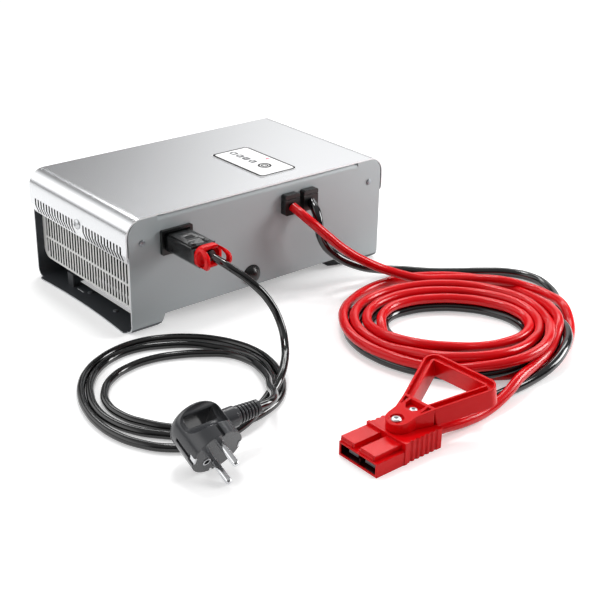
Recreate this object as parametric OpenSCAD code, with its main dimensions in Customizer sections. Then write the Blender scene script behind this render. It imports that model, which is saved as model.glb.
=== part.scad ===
/* [Housing] */
// Width across the end plates
housing_w = 265; // [200:1:340]
// Depth from the front plate to the back plate
housing_d = 153; // [120:1:220]
// Height to the top of the cover
housing_h = 98; // [80:1:130]
// Sheet thickness of the chassis
chassis_t = 1.5; // [1:0.1:2.5]
// Outer radius of the bottom bends
bend_r = 8; // [4:0.5:12]
// Outer radius of the bends of the front and back top edges
lip_r = 4.8; // [3:0.2:8]
// Sheet thickness of the cover
cover_t = 1.2; // [0.8:0.1:2]
// Outer radius of the cover's long bends
cover_r = 15; // [8:0.5:20]
// Distance that the cover stands out past the end of each plate
cover_out = 2.5; // [1:0.5:5]

/* [Air slots] */
// Distance between grille slots
grille_pitch = 4.44; // [3.5:0.02:6]
// Width of a grille slot
grille_slot_w = 2.3; // [1.5:0.1:3]
// Slots in each row of a grille
grille_count = 33; // [20:1:36]
// Distance between the slots of the cover's flanks
flank_pitch = 4.67; // [4:0.01:6]
// Width of a flank slot
flank_slot_w = 2.3; // [1.5:0.1:3]

/* [Front plate fittings] */
// Centre of the mains inlet, left of the middle
inlet_x = -89; // [-110:1:-60]
// Height of the mains inlet
inlet_z = 73.5; // [50:0.5:80]
// Distance between the two outlet blocks
outlet_gap_x = 20.4; // [18:0.2:40]
// Centre of the positive outlet block
outlet_x = 26.1; // [0:0.1:60]
// Height of the outlet blocks
outlet_z = 77.7; // [60:0.1:82]
// Diameter of the round stopper
stopper_d = 18.5; // [10:0.5:25]

/* [Control panel] */
// Width of the panel
panel_w = 40; // [30:1:60]
// Length of the panel, front to back
panel_l = 72.5; // [50:0.5:90]

/* [Cords] */
// Diameter of the mains cord
mains_d = 6.2; // [5:0.1:9]
// Diameter of each battery cable
cable_d = 8; // [6:0.1:12]
// Middle radius of the innermost turn of the mains coil
mains_turn_r = 54.9; // [45:0.1:80]
// Middle radius of the innermost turn of the battery cable coil
cable_turn_r = 58; // [50:0.5:90]

/* [Fan] */
// Width of the fan frame
fan_w = 80; // [60:1:80]
// Blades of the fan
fan_blades = 7; // [5:1:11]

/* [Hidden] */
$fn = 48;
half_w = housing_w / 2;
front_y = -housing_d / 2 + 3;
back_y = front_y + housing_d;
mid_y = (front_y + back_y) / 2;
cover_in_z = housing_h - cover_t;
plate_top = cover_in_z;
cover_half = half_w + cover_out;
eps = 0.05;

// Rounded upper corners of the front and back plates
plate_corner_r = 13;
// Ends of the bent top edges
lip_x0 = -105.5;
lip_x1 = 105;

// Floor of the chassis
foot_flare = 3.5;
foot_scallop = 2.7;
opening_x0 = -112.5;
opening_x1 = 83;
opening_y1 = 45;
notch_x0 = -101;
notch_x1 = 82;
notch_z = 11.5;

// Grilles
grille_x = 125;
grille_t = 1;
grille_z0 = 17.5;
grille_z1 = 95;
grille_bar_z0 = 36.5;
grille_bar_z1 = 38.4;
grille_first_y = 71.3;

// Cover flank
flank_z = 69;
flank_z0 = 61;
flank_in = 3;
flank_end_z = 66.6;
flank_slot_z0 = 62.3;
flank_slot_z1 = 75.3;
flank_first_y = 69.4;
flank_second_y = -9;
flank_count_a = 14;
flank_count_b = 13;
flank_screw_z = 73.5;
screw_hole_d = 4;

// Tray and board
tray_z = 12;
tray_t = 1.2;
tray_half = 104;
tray_y0 = front_y + chassis_t;
tray_y1 = back_y - chassis_t;
tray_leg_y = 39;
tray_leg_w = 9;
tray_leg_x = 123.5;
board_z = 19;
board_t = 1.6;
standoff_h = board_z - tray_z - tray_t;
standoff_xy = [[-92, -50], [-92, 61], [82, -50], [82, 61], [0, -51], [0, 61]];

// Display board under the panel
panel_x = 31.3;
panel_y = -18.8;
panel_t = 0.6;
button_y = -33.4;
display_z = 90;

// Mains inlet
inlet_w = 29.5;
inlet_h = 20.8;
inlet_flange_t = 3;
inlet_body_w = 27;
inlet_body_h = 19;
inlet_body_l = 20;
pin_w = 4;
pin_t = 2;

// Connector on the mains cord
nose_w = 23.6;
nose_h = 15.6;
nose_l = 15;
grip_w = 27.6;
grip_h = 18.8;
grip_y0 = front_y - inlet_flange_t;
grip_y1 = -117.5;
collar_y0 = -118;
collar_y1 = -137;
collar_gap = 0.4;
relief_d = 9;
relief_y1 = -125;

// Outlet blocks
block_w = 15.6;
block_h = 18.2;
block_out = 6;
positive_x = outlet_x;
negative_x = outlet_x + outlet_gap_x;
cable_z = 76;

// Stopper
stopper_x = -13;
stopper_z = 21.5;
stopper_out = 5;

// Coils on the floor beside the housing
mains_centre = [-148, -167];
mains_pitch = 6.6;
mains_turns = 4;
cable_centre = [76, -229];
cable_pitch = 10;
cable_turns = 4;

// Battery connector, mouth to the left
dc_x0 = -118;
dc_collar_x = -93;
barrel_x = -90.2;
dc_x1 = -58;
dc_y = -323.5;
dc_w = 37;
dc_h = 16;
skirt_h = 8;
block_top = 12.8;

// Handle of the battery connector
handle_foot_z = 16;
handle_top_z = 23.6;
handle_tilt = 12;
handle_turn = 2.5;
handle_neck_x = -62;
neck_top_z = 28.6;
handle_screw_x = [-84, -67];

// Plug
plug_at = [-197, -275.6, 18.05];
plug_lean = 66;
plug_d = 38;
plug_depth = 33;
plug_round = 9;
plug_relief_t = 20;
plug_relief_x1 = 47;
pin_spacing = 19;
pin_len = 19;
pin_d = 4.8;

// Fan
fan_x0 = 90;
fan_t = 25;
fan_z = 54.5;
fan_hub_d = 34;
fan_bore_d = 76;

// Cord routes
mains_lead_points = [
    [-89, -125, 75],
    [-89, -129.5, 75],
    [-88.3, -134.5, 74.2],
    [-86, -139.7, 71.3],
    [-79, -146.5, 65.3],
    [-72.6, -152.5, 57.6],
    [-66.8, -159.5, 48.8],
    [-63, -166.5, 39.8],
    [-61.8, -172.5, 31.4],
    [-63, -179, 23.9],
    [-67, -186, 16.8],
    [-73, -193, 10.8],
    [-79.5, -199, 7.2],
    [-84, -203, 5.2]
];
mains_tail_points = [
    [-150, -257.33, 26.18],
    [-143, -257, 25.7],
    [-135, -254, 23.8],
    [-127, -247.5, 20.8],
    [-119, -237.5, 16.6],
    [-112, -226, 11.6],
    [-107.5, -218, 7.8],
    [-104.5, -212.5, 5.6]
];
red_lead_points = [
    [26.1, -79.5, 76],
    [26.1, -84.5, 76],
    [25.9, -90, 74.6],
    [27.2, -95, 71],
    [30.2, -99, 66.4],
    [34.6, -102, 62.2],
    [41.2, -105, 55.4],
    [48.3, -108, 48.1],
    [56.3, -111.5, 40.5],
    [65.4, -114.3, 32.3],
    [76.2, -117.2, 25.3],
    [87.9, -120.6, 18.8],
    [98, -124, 14.4],
    [106, -128.5, 12.3],
    [110.5, -136, 12],
    [111, -145, 12]
];
black_lead_points = [
    [46.5, -79.5, 76],
    [46.5, -84, 76],
    [44.4, -88.3, 73.8],
    [42.6, -91.8, 69.8],
    [41.6, -94.3, 64.2],
    [41.3, -96, 57.8],
    [42.1, -97.3, 51.2],
    [45.2, -98.3, 44.2],
    [51, -99.2, 36.4],
    [60, -100.5, 28.4],
    [71, -102.5, 21],
    [84, -106, 14.2],
    [98, -109, 8.8],
    [113, -113, 5.4],
    [128, -121.4, 4],
    [145, -138, 4],
    [165, -153.5, 4],
    [186, -168.5, 4],
    [199, -182.5, 4],
    [204.4, -199, 4],
    [201.5, -216, 4],
    [191, -234, 4],
    [176, -252.5, 4],
    [164, -263.5, 4],
    [157, -268.5, 4]
];
red_tail_points = [
    [-83, -331.5, 8],
    [-58, -331.5, 8],
    [-45, -333, 7],
    [-25, -334, 5],
    [-6, -333, 4.3],
    [12, -330.5, 5.5],
    [24, -328.8, 7.8],
    [36, -326, 10.2],
    [48, -321.8, 12.1],
    [60, -317.8, 12.3]
];
black_tail_points = [
    [-83, -315.5, 8],
    [-58, -315.5, 8],
    [-45, -317, 7.4],
    [-27, -319.5, 5],
    [-6, -320.5, 4],
    [16, -319.5, 4],
    [36, -319.5, 4],
    [54, -320, 4],
    [66, -320, 4]
];

function unit(v) = v / norm(v);
function ring_at(p, t, r, n, side) =
    let (a = unit(cross(t, side)), b = cross(a, t))
    [for (i = [0 : n - 1]) p + r * (cos(360 * i / n) * a + sin(360 * i / n) * b)];
function way(pts, i) =
    i == 0 ? unit(pts[1] - pts[0]) :
    i == len(pts) - 1 ? unit(pts[i] - pts[i - 1]) :
    unit(unit(pts[i + 1] - pts[i]) + unit(pts[i] - pts[i - 1]));

module tube(pts, d, side = [0, 0, 1], n = 10) {
    m = len(pts);
    rings = [for (i = [0 : m - 1]) each ring_at(pts[i], way(pts, i), d / 2, n, side)];
    walls = [for (i = [0 : m - 2], j = [0 : n - 1]) let (a = i * n + j, b = i * n + (j + 1) % n)
        each [[a, b, b + n], [a, b + n, a + n]]];
    start = [for (j = [0 : n - 1]) n - 1 - j];
    end = [for (j = [0 : n - 1]) (m - 1) * n + j];
    polyhedron(points = rings, faces = concat([start], walls, [end]));
}

module round_rect(w, h, r) {
    square([w - 2 * r, h], center = true);
    square([w, h - 2 * r], center = true);
    for (i = [-1, 1], j = [-1, 1])
        translate([i * (w / 2 - r), j * (h / 2 - r)]) circle(r);
}

// Draws a shape given in depth and height, from x0 to x1
module along_x(x0, x1) {
    translate([x0, 0, 0]) rotate([90, 0, 90]) linear_extrude(x1 - x0) children();
}

// Draws a shape given in width and height, from y0 back to y1
module along_y(y0, y1) {
    translate([0, y1, 0]) rotate([90, 0, 0]) linear_extrude(y1 - y0) children();
}

module box(x0, x1, y0, y1, z0, z1) {
    translate([x0, y0, z0]) cube([x1 - x0, y1 - y0, z1 - z0]);
}

// Section of floor and plates, with the top edges bent inwards or, at the ends, straight
module pan_section(bent) {
    difference() {
        translate([mid_y, 60]) round_rect(housing_d, 120, bend_r);
        translate([mid_y, 60 + chassis_t]) round_rect(housing_d - 2 * chassis_t, 120, bend_r - chassis_t);
        translate([front_y - 1, bent ? plate_top - lip_r : plate_top]) square([housing_d + 2, 60]);
    }
    if (bent)
        for (m = [0, 1]) translate([m * (front_y + back_y), 0]) mirror([m, 0])
            translate([front_y + lip_r, plate_top - lip_r]) lip_section();
}

module lip_section() {
    intersection() {
        difference() {
            circle(lip_r);
            circle(lip_r - chassis_t);
        }
        translate([-lip_r, 0]) square(lip_r);
    }
    translate([0, lip_r - chassis_t]) square([8, chassis_t]);
}

module plate_corner_cut(s) {
    r = plate_corner_r;
    difference() {
        box(s < 0 ? -half_w - 1 : half_w - r, s < 0 ? -half_w + r : half_w + 1, front_y - 1, back_y + 1,
            plate_top - r, plate_top + 1);
        along_y(front_y - 2, back_y + 2) translate([s * (half_w - r), plate_top - r]) circle(r);
    }
}

module floor_ends() {
    // The free edges of the floor flare at the corners and are hollowed between them
    difference() {
        linear_extrude(chassis_t) difference() {
            translate([0, mid_y]) round_rect(housing_w + 2 * foot_flare, housing_d - 2 * bend_r, foot_flare);
            square([housing_w - 10, housing_d * 2], center = true);
        }
        for (s = [-1, 1])
            translate([s * (half_w + foot_flare - foot_scallop + 760), mid_y, -1]) cylinder(r = 760, h = 4, $fn = 720);
    }
}

module chassis() color("#6f7376") {
    difference() {
        union() {
            along_x(-half_w, lip_x0) pan_section(false);
            along_x(lip_x0, lip_x1) pan_section(true);
            along_x(lip_x1, half_w) pan_section(false);
            floor_ends();
        }
        for (s = [-1, 1]) plate_corner_cut(s);
        // opening of the floor, closed at the back and open to the front notch
        translate([0, 0, -1]) linear_extrude(4) {
            translate([(opening_x0 + opening_x1) / 2, opening_y1 - 30])
                round_rect(opening_x1 - opening_x0, 60, 4);
            polygon([[opening_x0, 10], [opening_x1, 10], [opening_x1, -62], [95, -66.5], [95, -80],
                [-105.5, -80], [-105.5, -66.5], [opening_x0, -60]]);
        }
        // notch of the front plate between the feet
        along_y(front_y - 1, front_y + bend_r + 0.5)
            polygon([[notch_x0, notch_z], [notch_x1, notch_z], [95, -1], [-105.5, -1]]);
        // holes for the fittings
        box(inlet_x - inlet_body_w / 2, inlet_x + inlet_body_w / 2, front_y - 1, front_y + 3,
            inlet_z - inlet_body_h / 2, inlet_z + inlet_body_h / 2);
        for (x = [positive_x, negative_x])
            along_y(front_y - 1, front_y + 3) translate([x, outlet_z - 2]) circle(d = 12);
        along_y(front_y - 1, front_y + 3) translate([stopper_x, stopper_z]) circle(d = 10);
        // long slot and pressed vent in each foot
        for (s = [-1, 1])
            box(s * 121.4 - 0.9, s * 121.4 + 0.9, 20.5, 33, -1, 3);
        // air slots of the back plate
        for (i = [0 : 19])
            box(-66 + i * 7, -62.5 + i * 7, back_y - 3, back_y + 1, 24, 62);
    }
}

module rivet(d = 5.2, h = 1.3) {
    rotate_extrude() intersection() {
        translate([0, h - 6]) circle(6);
        square([d / 2, 6]);
    }
}

module chassis_rivets() color("#8c8f92") {
    for (p = [[-120.4, 77.4], [118.5, 76.5]])
        translate([p[0], front_y, p[1]]) rotate([90, 0, 0]) rivet();
    for (p = [[-118, 16], [-120, -28], [118, 16], [120, -28]])
        translate([p[0], p[1], chassis_t]) rivet(4.4);
}

module tray_leg(s) {
    // an arm to the side that steps down and rests on the floor strip
    y = tray_leg_y;
    x0 = s < 0 ? -tray_leg_x : tray_half - 2;
    x1 = s < 0 ? -tray_half + 2 : tray_leg_x;
    box(x0, x1, y - tray_leg_w / 2, y + tray_leg_w / 2, tray_z, tray_z + tray_t);
    box(s < 0 ? -tray_leg_x : tray_leg_x - tray_t, s < 0 ? -tray_leg_x + tray_t : tray_leg_x,
        y - tray_leg_w / 2, y + tray_leg_w / 2, chassis_t, tray_z + tray_t);
    box(s < 0 ? -tray_leg_x : tray_leg_x - 7, s < 0 ? -tray_leg_x + 7 : tray_leg_x,
        y - tray_leg_w / 2, y + tray_leg_w / 2, chassis_t, chassis_t + tray_t);
}

module inner_tray() color("#34373a") {
    difference() {
        union() {
            translate([0, (tray_y0 + tray_y1) / 2, tray_z]) linear_extrude(tray_t)
                round_rect(2 * tray_half, tray_y1 - tray_y0, 4);
            for (s = [-1, 1]) tray_leg(s);
            box(-tray_half + 6, tray_half - 6, tray_y1 - tray_t, tray_y1, tray_z, tray_z + 9);
            for (x = [[-98, -30], [6, 98]])
                box(x[0], x[1], tray_y0, tray_y0 + tray_t, tray_z, tray_z + 6);
        }
        for (i = [-8 : 8])
            box(i * 10 - 2, i * 10 + 2, 12, 48, tray_z - 1, tray_z + 3);
    }
}

module grille() {
    y0 = front_y + chassis_t;
    y1 = back_y - chassis_t;
    // slotted wall, lower corners rounded
    along_x(-grille_x - grille_t / 2, -grille_x + grille_t / 2) difference() {
        union() {
            translate([(y0 + y1) / 2, (grille_z0 + grille_z1) / 2])
                round_rect(y1 - y0, grille_z1 - grille_z0, 8.5);
            translate([y0, grille_z1 - 12]) square([y1 - y0, 12]);
        }
        for (i = [0 : grille_count - 1]) {
            y = grille_first_y - i * grille_pitch;
            edge = i == 0 || i == grille_count - 1 ? 4 : 0;
            translate([y - grille_slot_w / 2, grille_z0 + 2 + edge])
                square([grille_slot_w, grille_bar_z0 - grille_z0 - 2 - edge]);
            translate([y - grille_slot_w / 2, grille_bar_z1]) square([grille_slot_w, 75.5 - grille_bar_z1]);
        }
    }
    // flanges folded inwards against the front and back plates
    for (y = [y0, y1 - grille_t])
        box(-grille_x, -grille_x + 9, y, y + grille_t, grille_z0 + 9, grille_z1 - 3);
    box(-grille_x, -grille_x + 7, y0 + 10, y1 - 10, grille_z0, grille_z0 + grille_t);
}

module left_grille() color("#d9dadb") grille();
module right_grille() color("#d9dadb") mirror([1, 0, 0]) grille();

module cover_form(t, y0, y1) {
    // solid form of the cover or, with t, of the space under it
    w = cover_half - t;
    r = cover_r - t;
    z0 = flank_z0 - (t > 0 ? 1 : 0);
    along_y(y0, y1) translate([-w + r, flank_z]) square([2 * (w - r), housing_h - t - flank_z]);
    along_y(y0, y1)
        polygon([[-w, housing_h - cover_r], [w, housing_h - cover_r], [w, flank_z], [w - flank_in, z0],
            [-w + flank_in, z0], [-w, flank_z]]);
    for (s = [-1, 1]) along_y(y0, y1) translate([s * (w - r), housing_h - cover_r]) circle(r, $fn = 64);
}

module top_cover() color("#b4b6b8") {
    difference() {
        cover_form(0, front_y, back_y);
        cover_form(cover_t, front_y - 1, back_y + 1);
        for (s = [-1, 1]) {
            // the flank's lower edge stops short of the plates
            for (y = [front_y - 1, back_y - chassis_t - 0.1])
                box(s * 133 - 4, s * 133 + 4, y, y + chassis_t + 1.1, flank_z0 - 2, flank_end_z);
            for (i = [0 : flank_count_a - 1])
                box(s * 133 - 4, s * 133 + 4, flank_first_y - i * flank_pitch - flank_slot_w / 2,
                    flank_first_y - i * flank_pitch + flank_slot_w / 2, flank_slot_z0, flank_slot_z1);
            for (i = [0 : flank_count_b - 1])
                box(s * 133 - 4, s * 133 + 4, flank_second_y - i * flank_pitch - flank_slot_w / 2,
                    flank_second_y - i * flank_pitch + flank_slot_w / 2, flank_slot_z0, flank_slot_z1);
            translate([s * 136, 0.3, flank_screw_z]) rotate([0, -s * 90, 0]) cylinder(d = screw_hole_d, h = 6);
        }
        // windows for the lamps and the button under the panel
        box(panel_x - 6, panel_x + 6, panel_y - 5, panel_y + 31, cover_in_z - 1, housing_h + 1);
        translate([panel_x + 0.8, button_y, cover_in_z - 1]) cylinder(d = 7, h = 4);
        // relief nick at the left end of the front edge
        box(lip_x0, lip_x0 + 5.5, front_y - 1, front_y + 0.6, cover_in_z - 1, housing_h - 0.7);
    }
}

module cover_screw() {
    // pan head with a cross recess
    difference() {
        union() {
            rotate_extrude() intersection() {
                translate([0, -3.6]) circle(5.9);
                square([4.25, 6]);
            }
            translate([0, 0, -7]) cylinder(d = 3.8, h = 7.5);
        }
        for (a = [0, 90]) rotate([0, 0, a]) translate([-2, -0.45, 1.2]) cube([4, 0.9, 3]);
    }
}

module cover_screws() color("#c9cacb") {
    for (s = [-1, 1])
        translate([s * cover_half, 0.3, flank_screw_z]) rotate([0, s * 90, 0]) cover_screw();
}

module control_panel() color("#e8e8e8") {
    difference() {
        translate([panel_x, panel_y, housing_h]) linear_extrude(panel_t) round_rect(panel_w, panel_l, 3);
        // shallow ring around the button
        translate([panel_x + 0.8, button_y, housing_h + panel_t - 0.2]) difference() {
            cylinder(d = 11.4, h = 1);
            translate([0, 0, -1]) cylinder(d = 9.4, h = 3);
        }
    }
}

module display_board() color("#2f6b3f") {
    difference() {
        box(panel_x - 17, panel_x + 17, panel_y - 33, panel_y + 33, display_z, display_z + board_t);
        for (i = [-1, 1], j = [-1, 1])
            translate([panel_x + i * 14, panel_y + j * 30, display_z - 1]) cylinder(d = 3, h = 4);
    }
    // posts to the cover, lamps and the push switch
    for (i = [-1, 1], j = [-1, 1])
        translate([panel_x + i * 14, panel_y + j * 30, display_z + board_t]) difference() {
            cylinder(d = 5, h = cover_in_z - display_z - board_t);
            translate([0, 0, -1]) cylinder(d = 3, h = 4);
        }
    for (y = [8.8, -0.6, -8.9, -19.3])
        translate([panel_x, y, display_z + board_t]) cylinder(d = 3, h = 5.6);
    box(panel_x - 2.2, panel_x + 3.8, button_y - 3, button_y + 3, display_z + board_t, display_z + board_t + 3.5);
    translate([panel_x + 0.8, button_y, display_z + board_t]) cylinder(d = 3.4, h = 6);
}

module socket_outline(w, h, c) {
    // rectangle with two cut lower corners
    polygon([[-w / 2, h / 2], [w / 2, h / 2], [w / 2, -h / 2 + c], [w / 2 - c, -h / 2],
        [-w / 2 + c, -h / 2], [-w / 2, -h / 2 + c]]);
}

module mains_inlet() color("#1d1e20") {
    y1 = front_y + inlet_body_l;
    difference() {
        union() {
            along_y(front_y - inlet_flange_t, front_y) translate([inlet_x, inlet_z]) round_rect(inlet_w, inlet_h, 1.5);
            along_y(front_y - eps, y1) translate([inlet_x, inlet_z])
                square([inlet_body_w - 0.2, inlet_body_h - 0.2], center = true);
        }
        along_y(front_y - 10, y1 - 2.5) translate([inlet_x, inlet_z])
            socket_outline(nose_w + 0.8, nose_h + 0.8, 4.6);
        for (p = [[-7, 2], [0, -2], [7, 2]])
            box(inlet_x + p[0] - pin_t / 2, inlet_x + p[0] + pin_t / 2, y1 - 5, y1 + 1,
                inlet_z + p[1] - pin_w / 2, inlet_z + p[1] + pin_w / 2);
    }
}

module inlet_pins() color("#c8b98a") {
    y1 = front_y + inlet_body_l;
    for (p = [[-7, 2], [0, -2], [7, 2]])
        box(inlet_x + p[0] - pin_t / 2, inlet_x + p[0] + pin_t / 2, y1 - 16, y1 + 7,
            inlet_z + p[1] - pin_w / 2, inlet_z + p[1] + pin_w / 2);
}

module outlet_block(x) {
    difference() {
        union() {
            along_y(front_y - block_out, front_y) translate([x, outlet_z]) round_rect(block_w, block_h, 2);
            along_y(front_y - 1, front_y + 9) translate([x, outlet_z - 2]) circle(d = 11.8);
        }
        along_y(front_y - block_out - 1, front_y + 10) translate([x, cable_z]) circle(d = 8.4);
        // clamp joint across the front
        box(x - block_w, x + block_w, front_y - block_out - 1, front_y - block_out + 0.8,
            outlet_z + 4.6, outlet_z + 5.2);
    }
    // cable end inside the block
    along_y(front_y - block_out, front_y + 12) translate([x, cable_z]) circle(d = 8.4);
}

module positive_outlet() color("#17181a") outlet_block(positive_x);
module negative_outlet() color("#17181a") outlet_block(negative_x);

module stopper() color("#141516") {
    // low dome with a grooved neck through the plate
    r = (pow(stopper_d / 2, 2) + pow(stopper_out, 2)) / (2 * stopper_out);
    translate([stopper_x, front_y, stopper_z]) rotate([90, 0, 0]) {
        rotate_extrude() intersection() {
            translate([0, stopper_out - r]) circle(r, $fn = 96);
            square([stopper_d / 2, stopper_out]);
        }
        translate([0, 0, -chassis_t - 1.6]) cylinder(d = 9.8, h = chassis_t + 1.7);
        translate([0, 0, -chassis_t - 3.2]) cylinder(d1 = 9, d2 = 12.4, h = 3.2);
    }
}

module main_board() color("#2f6b3f") {
    difference() {
        box(-98, 88, -58, 66, board_z, board_z + board_t);
        for (p = standoff_xy) translate([p[0], p[1], board_z - 1]) cylinder(d = 3.2, h = 4);
    }
}

module board_standoffs() color("#b9bcc0") {
    for (p = standoff_xy) translate([p[0], p[1], tray_z + tray_t]) {
        difference() {
            cylinder(d = 6, h = standoff_h, $fn = 6);
            translate([0, 0, -1]) cylinder(d = 2.6, h = standoff_h + 2);
        }
        // screw through the board
        translate([0, 0, standoff_h + board_t]) cylinder(d = 5.4, h = 2);
        translate([0, 0, standoff_h - 3]) cylinder(d = 2.6, h = board_t + 3.2);
    }
}

trafo = [-8, 20];
module transformer_core() color("#3a3a3d") {
    z = board_z + board_t + 3;
    translate([trafo[0], trafo[1], z]) difference() {
        translate([-24, -22, 0]) cube([48, 44, 42]);
        for (x = [-18, 6]) translate([x, -23, 8]) cube([12, 46, 26]);
    }
}

module transformer_winding() color("#c8a23c") {
    z = board_z + board_t + 3;
    translate([trafo[0], trafo[1], z + 8]) difference() {
        linear_extrude(26) round_rect(35.8, 60, 8);
        translate([-6, -22, -1]) cube([12, 44, 28]);
        // the outer part of the winding stays outside the core
        for (x = [-24.1, 18]) translate([x, -22.05, -1]) cube([6.1, 44.1, 28]);
    }
    translate([trafo[0] - 18, trafo[1] + 22.1, board_z + board_t]) cube([36, 8, 3 + 8]);
    translate([trafo[0] - 18, trafo[1] - 30.1, board_z + board_t]) cube([36, 8, 3 + 8]);
}

module output_choke() color("#b9702e") {
    translate([58, 26, board_z + board_t]) {
        rotate_extrude() translate([15, 10]) circle(8);
        translate([-14, -3, 0]) cube([6, 6, 4]);
        translate([8, -3, 0]) cube([6, 6, 4]);
    }
}

module heat_sink() color("#9a9da1") {
    z = board_z + board_t;
    for (y = [-44, 54]) difference() {
        translate([-80, y - 3, z]) cube([150, 6, 44]);
        for (i = [0 : 23]) translate([-77 + i * 6, y < 0 ? y - 4 : y + 1, z + 6]) cube([3, 3, 40]);
    }
}

module power_devices() color("#1b1c1e") {
    z = board_z + board_t;
    for (x = [-64, -40, -16, 8, 32, 56]) {
        translate([x, -41, z + 8]) cube([15, 4.6, 20]);
        translate([x + 2, -39.4, z]) cube([11, 1.2, 8]);
    }
}

module bus_capacitors() color("#23303c") {
    z = board_z + board_t;
    for (p = [[-78, -14], [-78, 16], [-52, 0]])
        translate([p[0], p[1], z]) rotate_extrude() {
            square([11, 43]);
            square([10, 45]);
        }
}

module fan_frame() color("#1f2022") {
    y = mid_y;
    difference() {
        translate([fan_x0, y - fan_w / 2, fan_z - fan_w / 2]) cube([fan_t, fan_w, fan_w]);
        translate([fan_x0 - 1, y, fan_z]) rotate([0, 90, 0]) cylinder(d = fan_bore_d, h = fan_t + 2, $fn = 72);
        for (i = [-1, 1], j = [-1, 1])
            translate([fan_x0 - 1, y + i * 35.75, fan_z + j * 35.75]) rotate([0, 90, 0]) cylinder(d = 4.3, h = fan_t + 2);
    }
    // motor mount on four struts, on the outer side
    translate([fan_x0 + fan_t - 3, y, fan_z]) rotate([0, 90, 0]) cylinder(d = fan_hub_d, h = 3);
    translate([fan_x0 + 8, y, fan_z]) rotate([0, 90, 0]) cylinder(d = 5, h = fan_t - 10);
    for (a = [45 : 90 : 315])
        translate([fan_x0 + fan_t - 3, y, fan_z]) rotate([a, 0, 0]) translate([0.2, -2.2, fan_hub_d / 2 - 3])
            cube([2.6, 4.4, fan_bore_d / 2 - fan_hub_d / 2 + 6]);
}

module fan_rotor() color("#2b2c2f") {
    y = mid_y;
    translate([fan_x0 + 2, y, fan_z]) rotate([0, 90, 0]) {
        difference() {
            cylinder(d = fan_hub_d - 1, h = 19);
            translate([0, 0, 5]) cylinder(d = 5.1, h = 20);
        }
        for (i = [0 : fan_blades - 1]) rotate([0, 0, i * 360 / fan_blades])
            translate([fan_hub_d / 2 - 2.5, 0, 9.5]) rotate([52, 0, 0])
                translate([0, -10.5, -0.8]) cube([21.5, 21, 1.6]);
    }
}

module fan_screws() color("#b9bcc0") {
    y = mid_y;
    for (i = [-1, 1], j = [-1, 1])
        translate([fan_x0, y + i * 35.75, fan_z + j * 35.75]) rotate([0, 90, 0]) {
            cylinder(d = 3.8, h = fan_t);
            translate([0, 0, fan_t]) cylinder(d = 6.4, h = 1.8);
            translate([0, 0, -1.8]) cylinder(d = 6.4, h = 1.8);
        }
}

module mains_connector() color("#26272a") {
    difference() {
        union() {
            // nose inside the inlet
            along_y(grip_y0 - eps, grip_y0 + nose_l) translate([inlet_x, inlet_z])
                socket_outline(nose_w, nose_h, 4.4);
            // grip with two cut lower corners and a stepped back
            along_y(grip_y1 + 7, grip_y0) translate([inlet_x, inlet_z + 1])
                socket_outline(grip_w, grip_h, 5.5);
            along_y(grip_y1, grip_y1 + 7.1) translate([inlet_x, inlet_z + 1])
                socket_outline(grip_w - 1.2, grip_h - 1.2, 5.2);
            along_y(relief_y1, grip_y1 + 0.1) translate([inlet_x, 75]) circle(d = relief_d);
            // guide blocks of the collar on the top
            for (x = [-8, 6.5])
                box(inlet_x + x - 2.6, inlet_x + x + 2.6, grip_y1 + 1.5, grip_y1 + 8, inlet_z + 9.5, inlet_z + 11.6);
        }
        for (p = [[-7, 2], [0, -2], [7, 2]])
            box(inlet_x + p[0] - pin_t / 2 - 0.1, inlet_x + p[0] + pin_t / 2 + 0.1, grip_y0 - 3, grip_y0 + nose_l + 1,
                inlet_z + p[1] - pin_w / 2 - 0.1, inlet_z + p[1] + pin_w / 2 + 0.1);
    }
}

module release_collar() color("#d8202a") {
    // oval sleeve around the cord with a finger hole in each side
    zc = inlet_z + 1;
    difference() {
        union() {
            along_y(collar_y1, collar_y0) translate([inlet_x + 1, zc]) round_rect(32, 21, 9.5);
            along_y(collar_y1 - 0.01, collar_y1 + 5) translate([inlet_x + 1, zc]) round_rect(34, 23, 10.5);
        }
        along_y(collar_y1 - 1, collar_y0 - 1.6) translate([inlet_x + 1, zc]) round_rect(26.5, 15.5, 7);
        along_y(collar_y0 - 3, collar_y0 + 1) translate([inlet_x, 75]) circle(d = relief_d + 2 * collar_gap);
        for (s = [-1, 1])
            translate([inlet_x + 1 + s * 15, -127.5, zc]) rotate([0, 90, 0]) cylinder(d = 9.5, h = 8, center = true);
    }
}

module mains_lead() color("#26272a") tube(mains_lead_points, mains_d);
module mains_tail() color("#26272a") tube(mains_tail_points, mains_d);

// Turns side by side, joined by a web thinner than the cord
module flat_coil(d, r, pitch, turns, z) {
    translate([0, 0, z]) rotate_extrude($fn = 60) {
        for (i = [0 : turns - 1]) translate([r + i * pitch, 0]) circle(d / 2, $fn = 12);
        translate([r, -d / 5]) square([pitch * (turns - 1), d * 2 / 5]);
    }
}

module mains_coil() color("#26272a")
    translate([mains_centre[0], mains_centre[1], 0])
        flat_coil(mains_d, mains_turn_r, mains_pitch, mains_turns, mains_d / 2);

module black_coil() color("#202225")
    translate([cable_centre[0], cable_centre[1], 0])
        flat_coil(cable_d, cable_turn_r, cable_pitch, cable_turns, cable_d / 2);

module red_coil() color("#d4121a")
    translate([cable_centre[0], cable_centre[1], 0])
        flat_coil(cable_d, cable_turn_r, cable_pitch, cable_turns, cable_d * 3 / 2);

module red_lead() color("#d4121a") tube(red_lead_points, cable_d);
module black_lead() color("#202225") tube(black_lead_points, cable_d, [1, 1, 0]);
module red_tail() color("#d4121a") tube(red_tail_points, cable_d);
module black_tail() color("#202225") tube(black_tail_points, cable_d);

// The plug is drawn with its pins down and its cord to +X, then laid over
module plug_place() {
    translate(plug_at) rotate([-plug_lean, 0, 0]) children();
}

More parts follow.
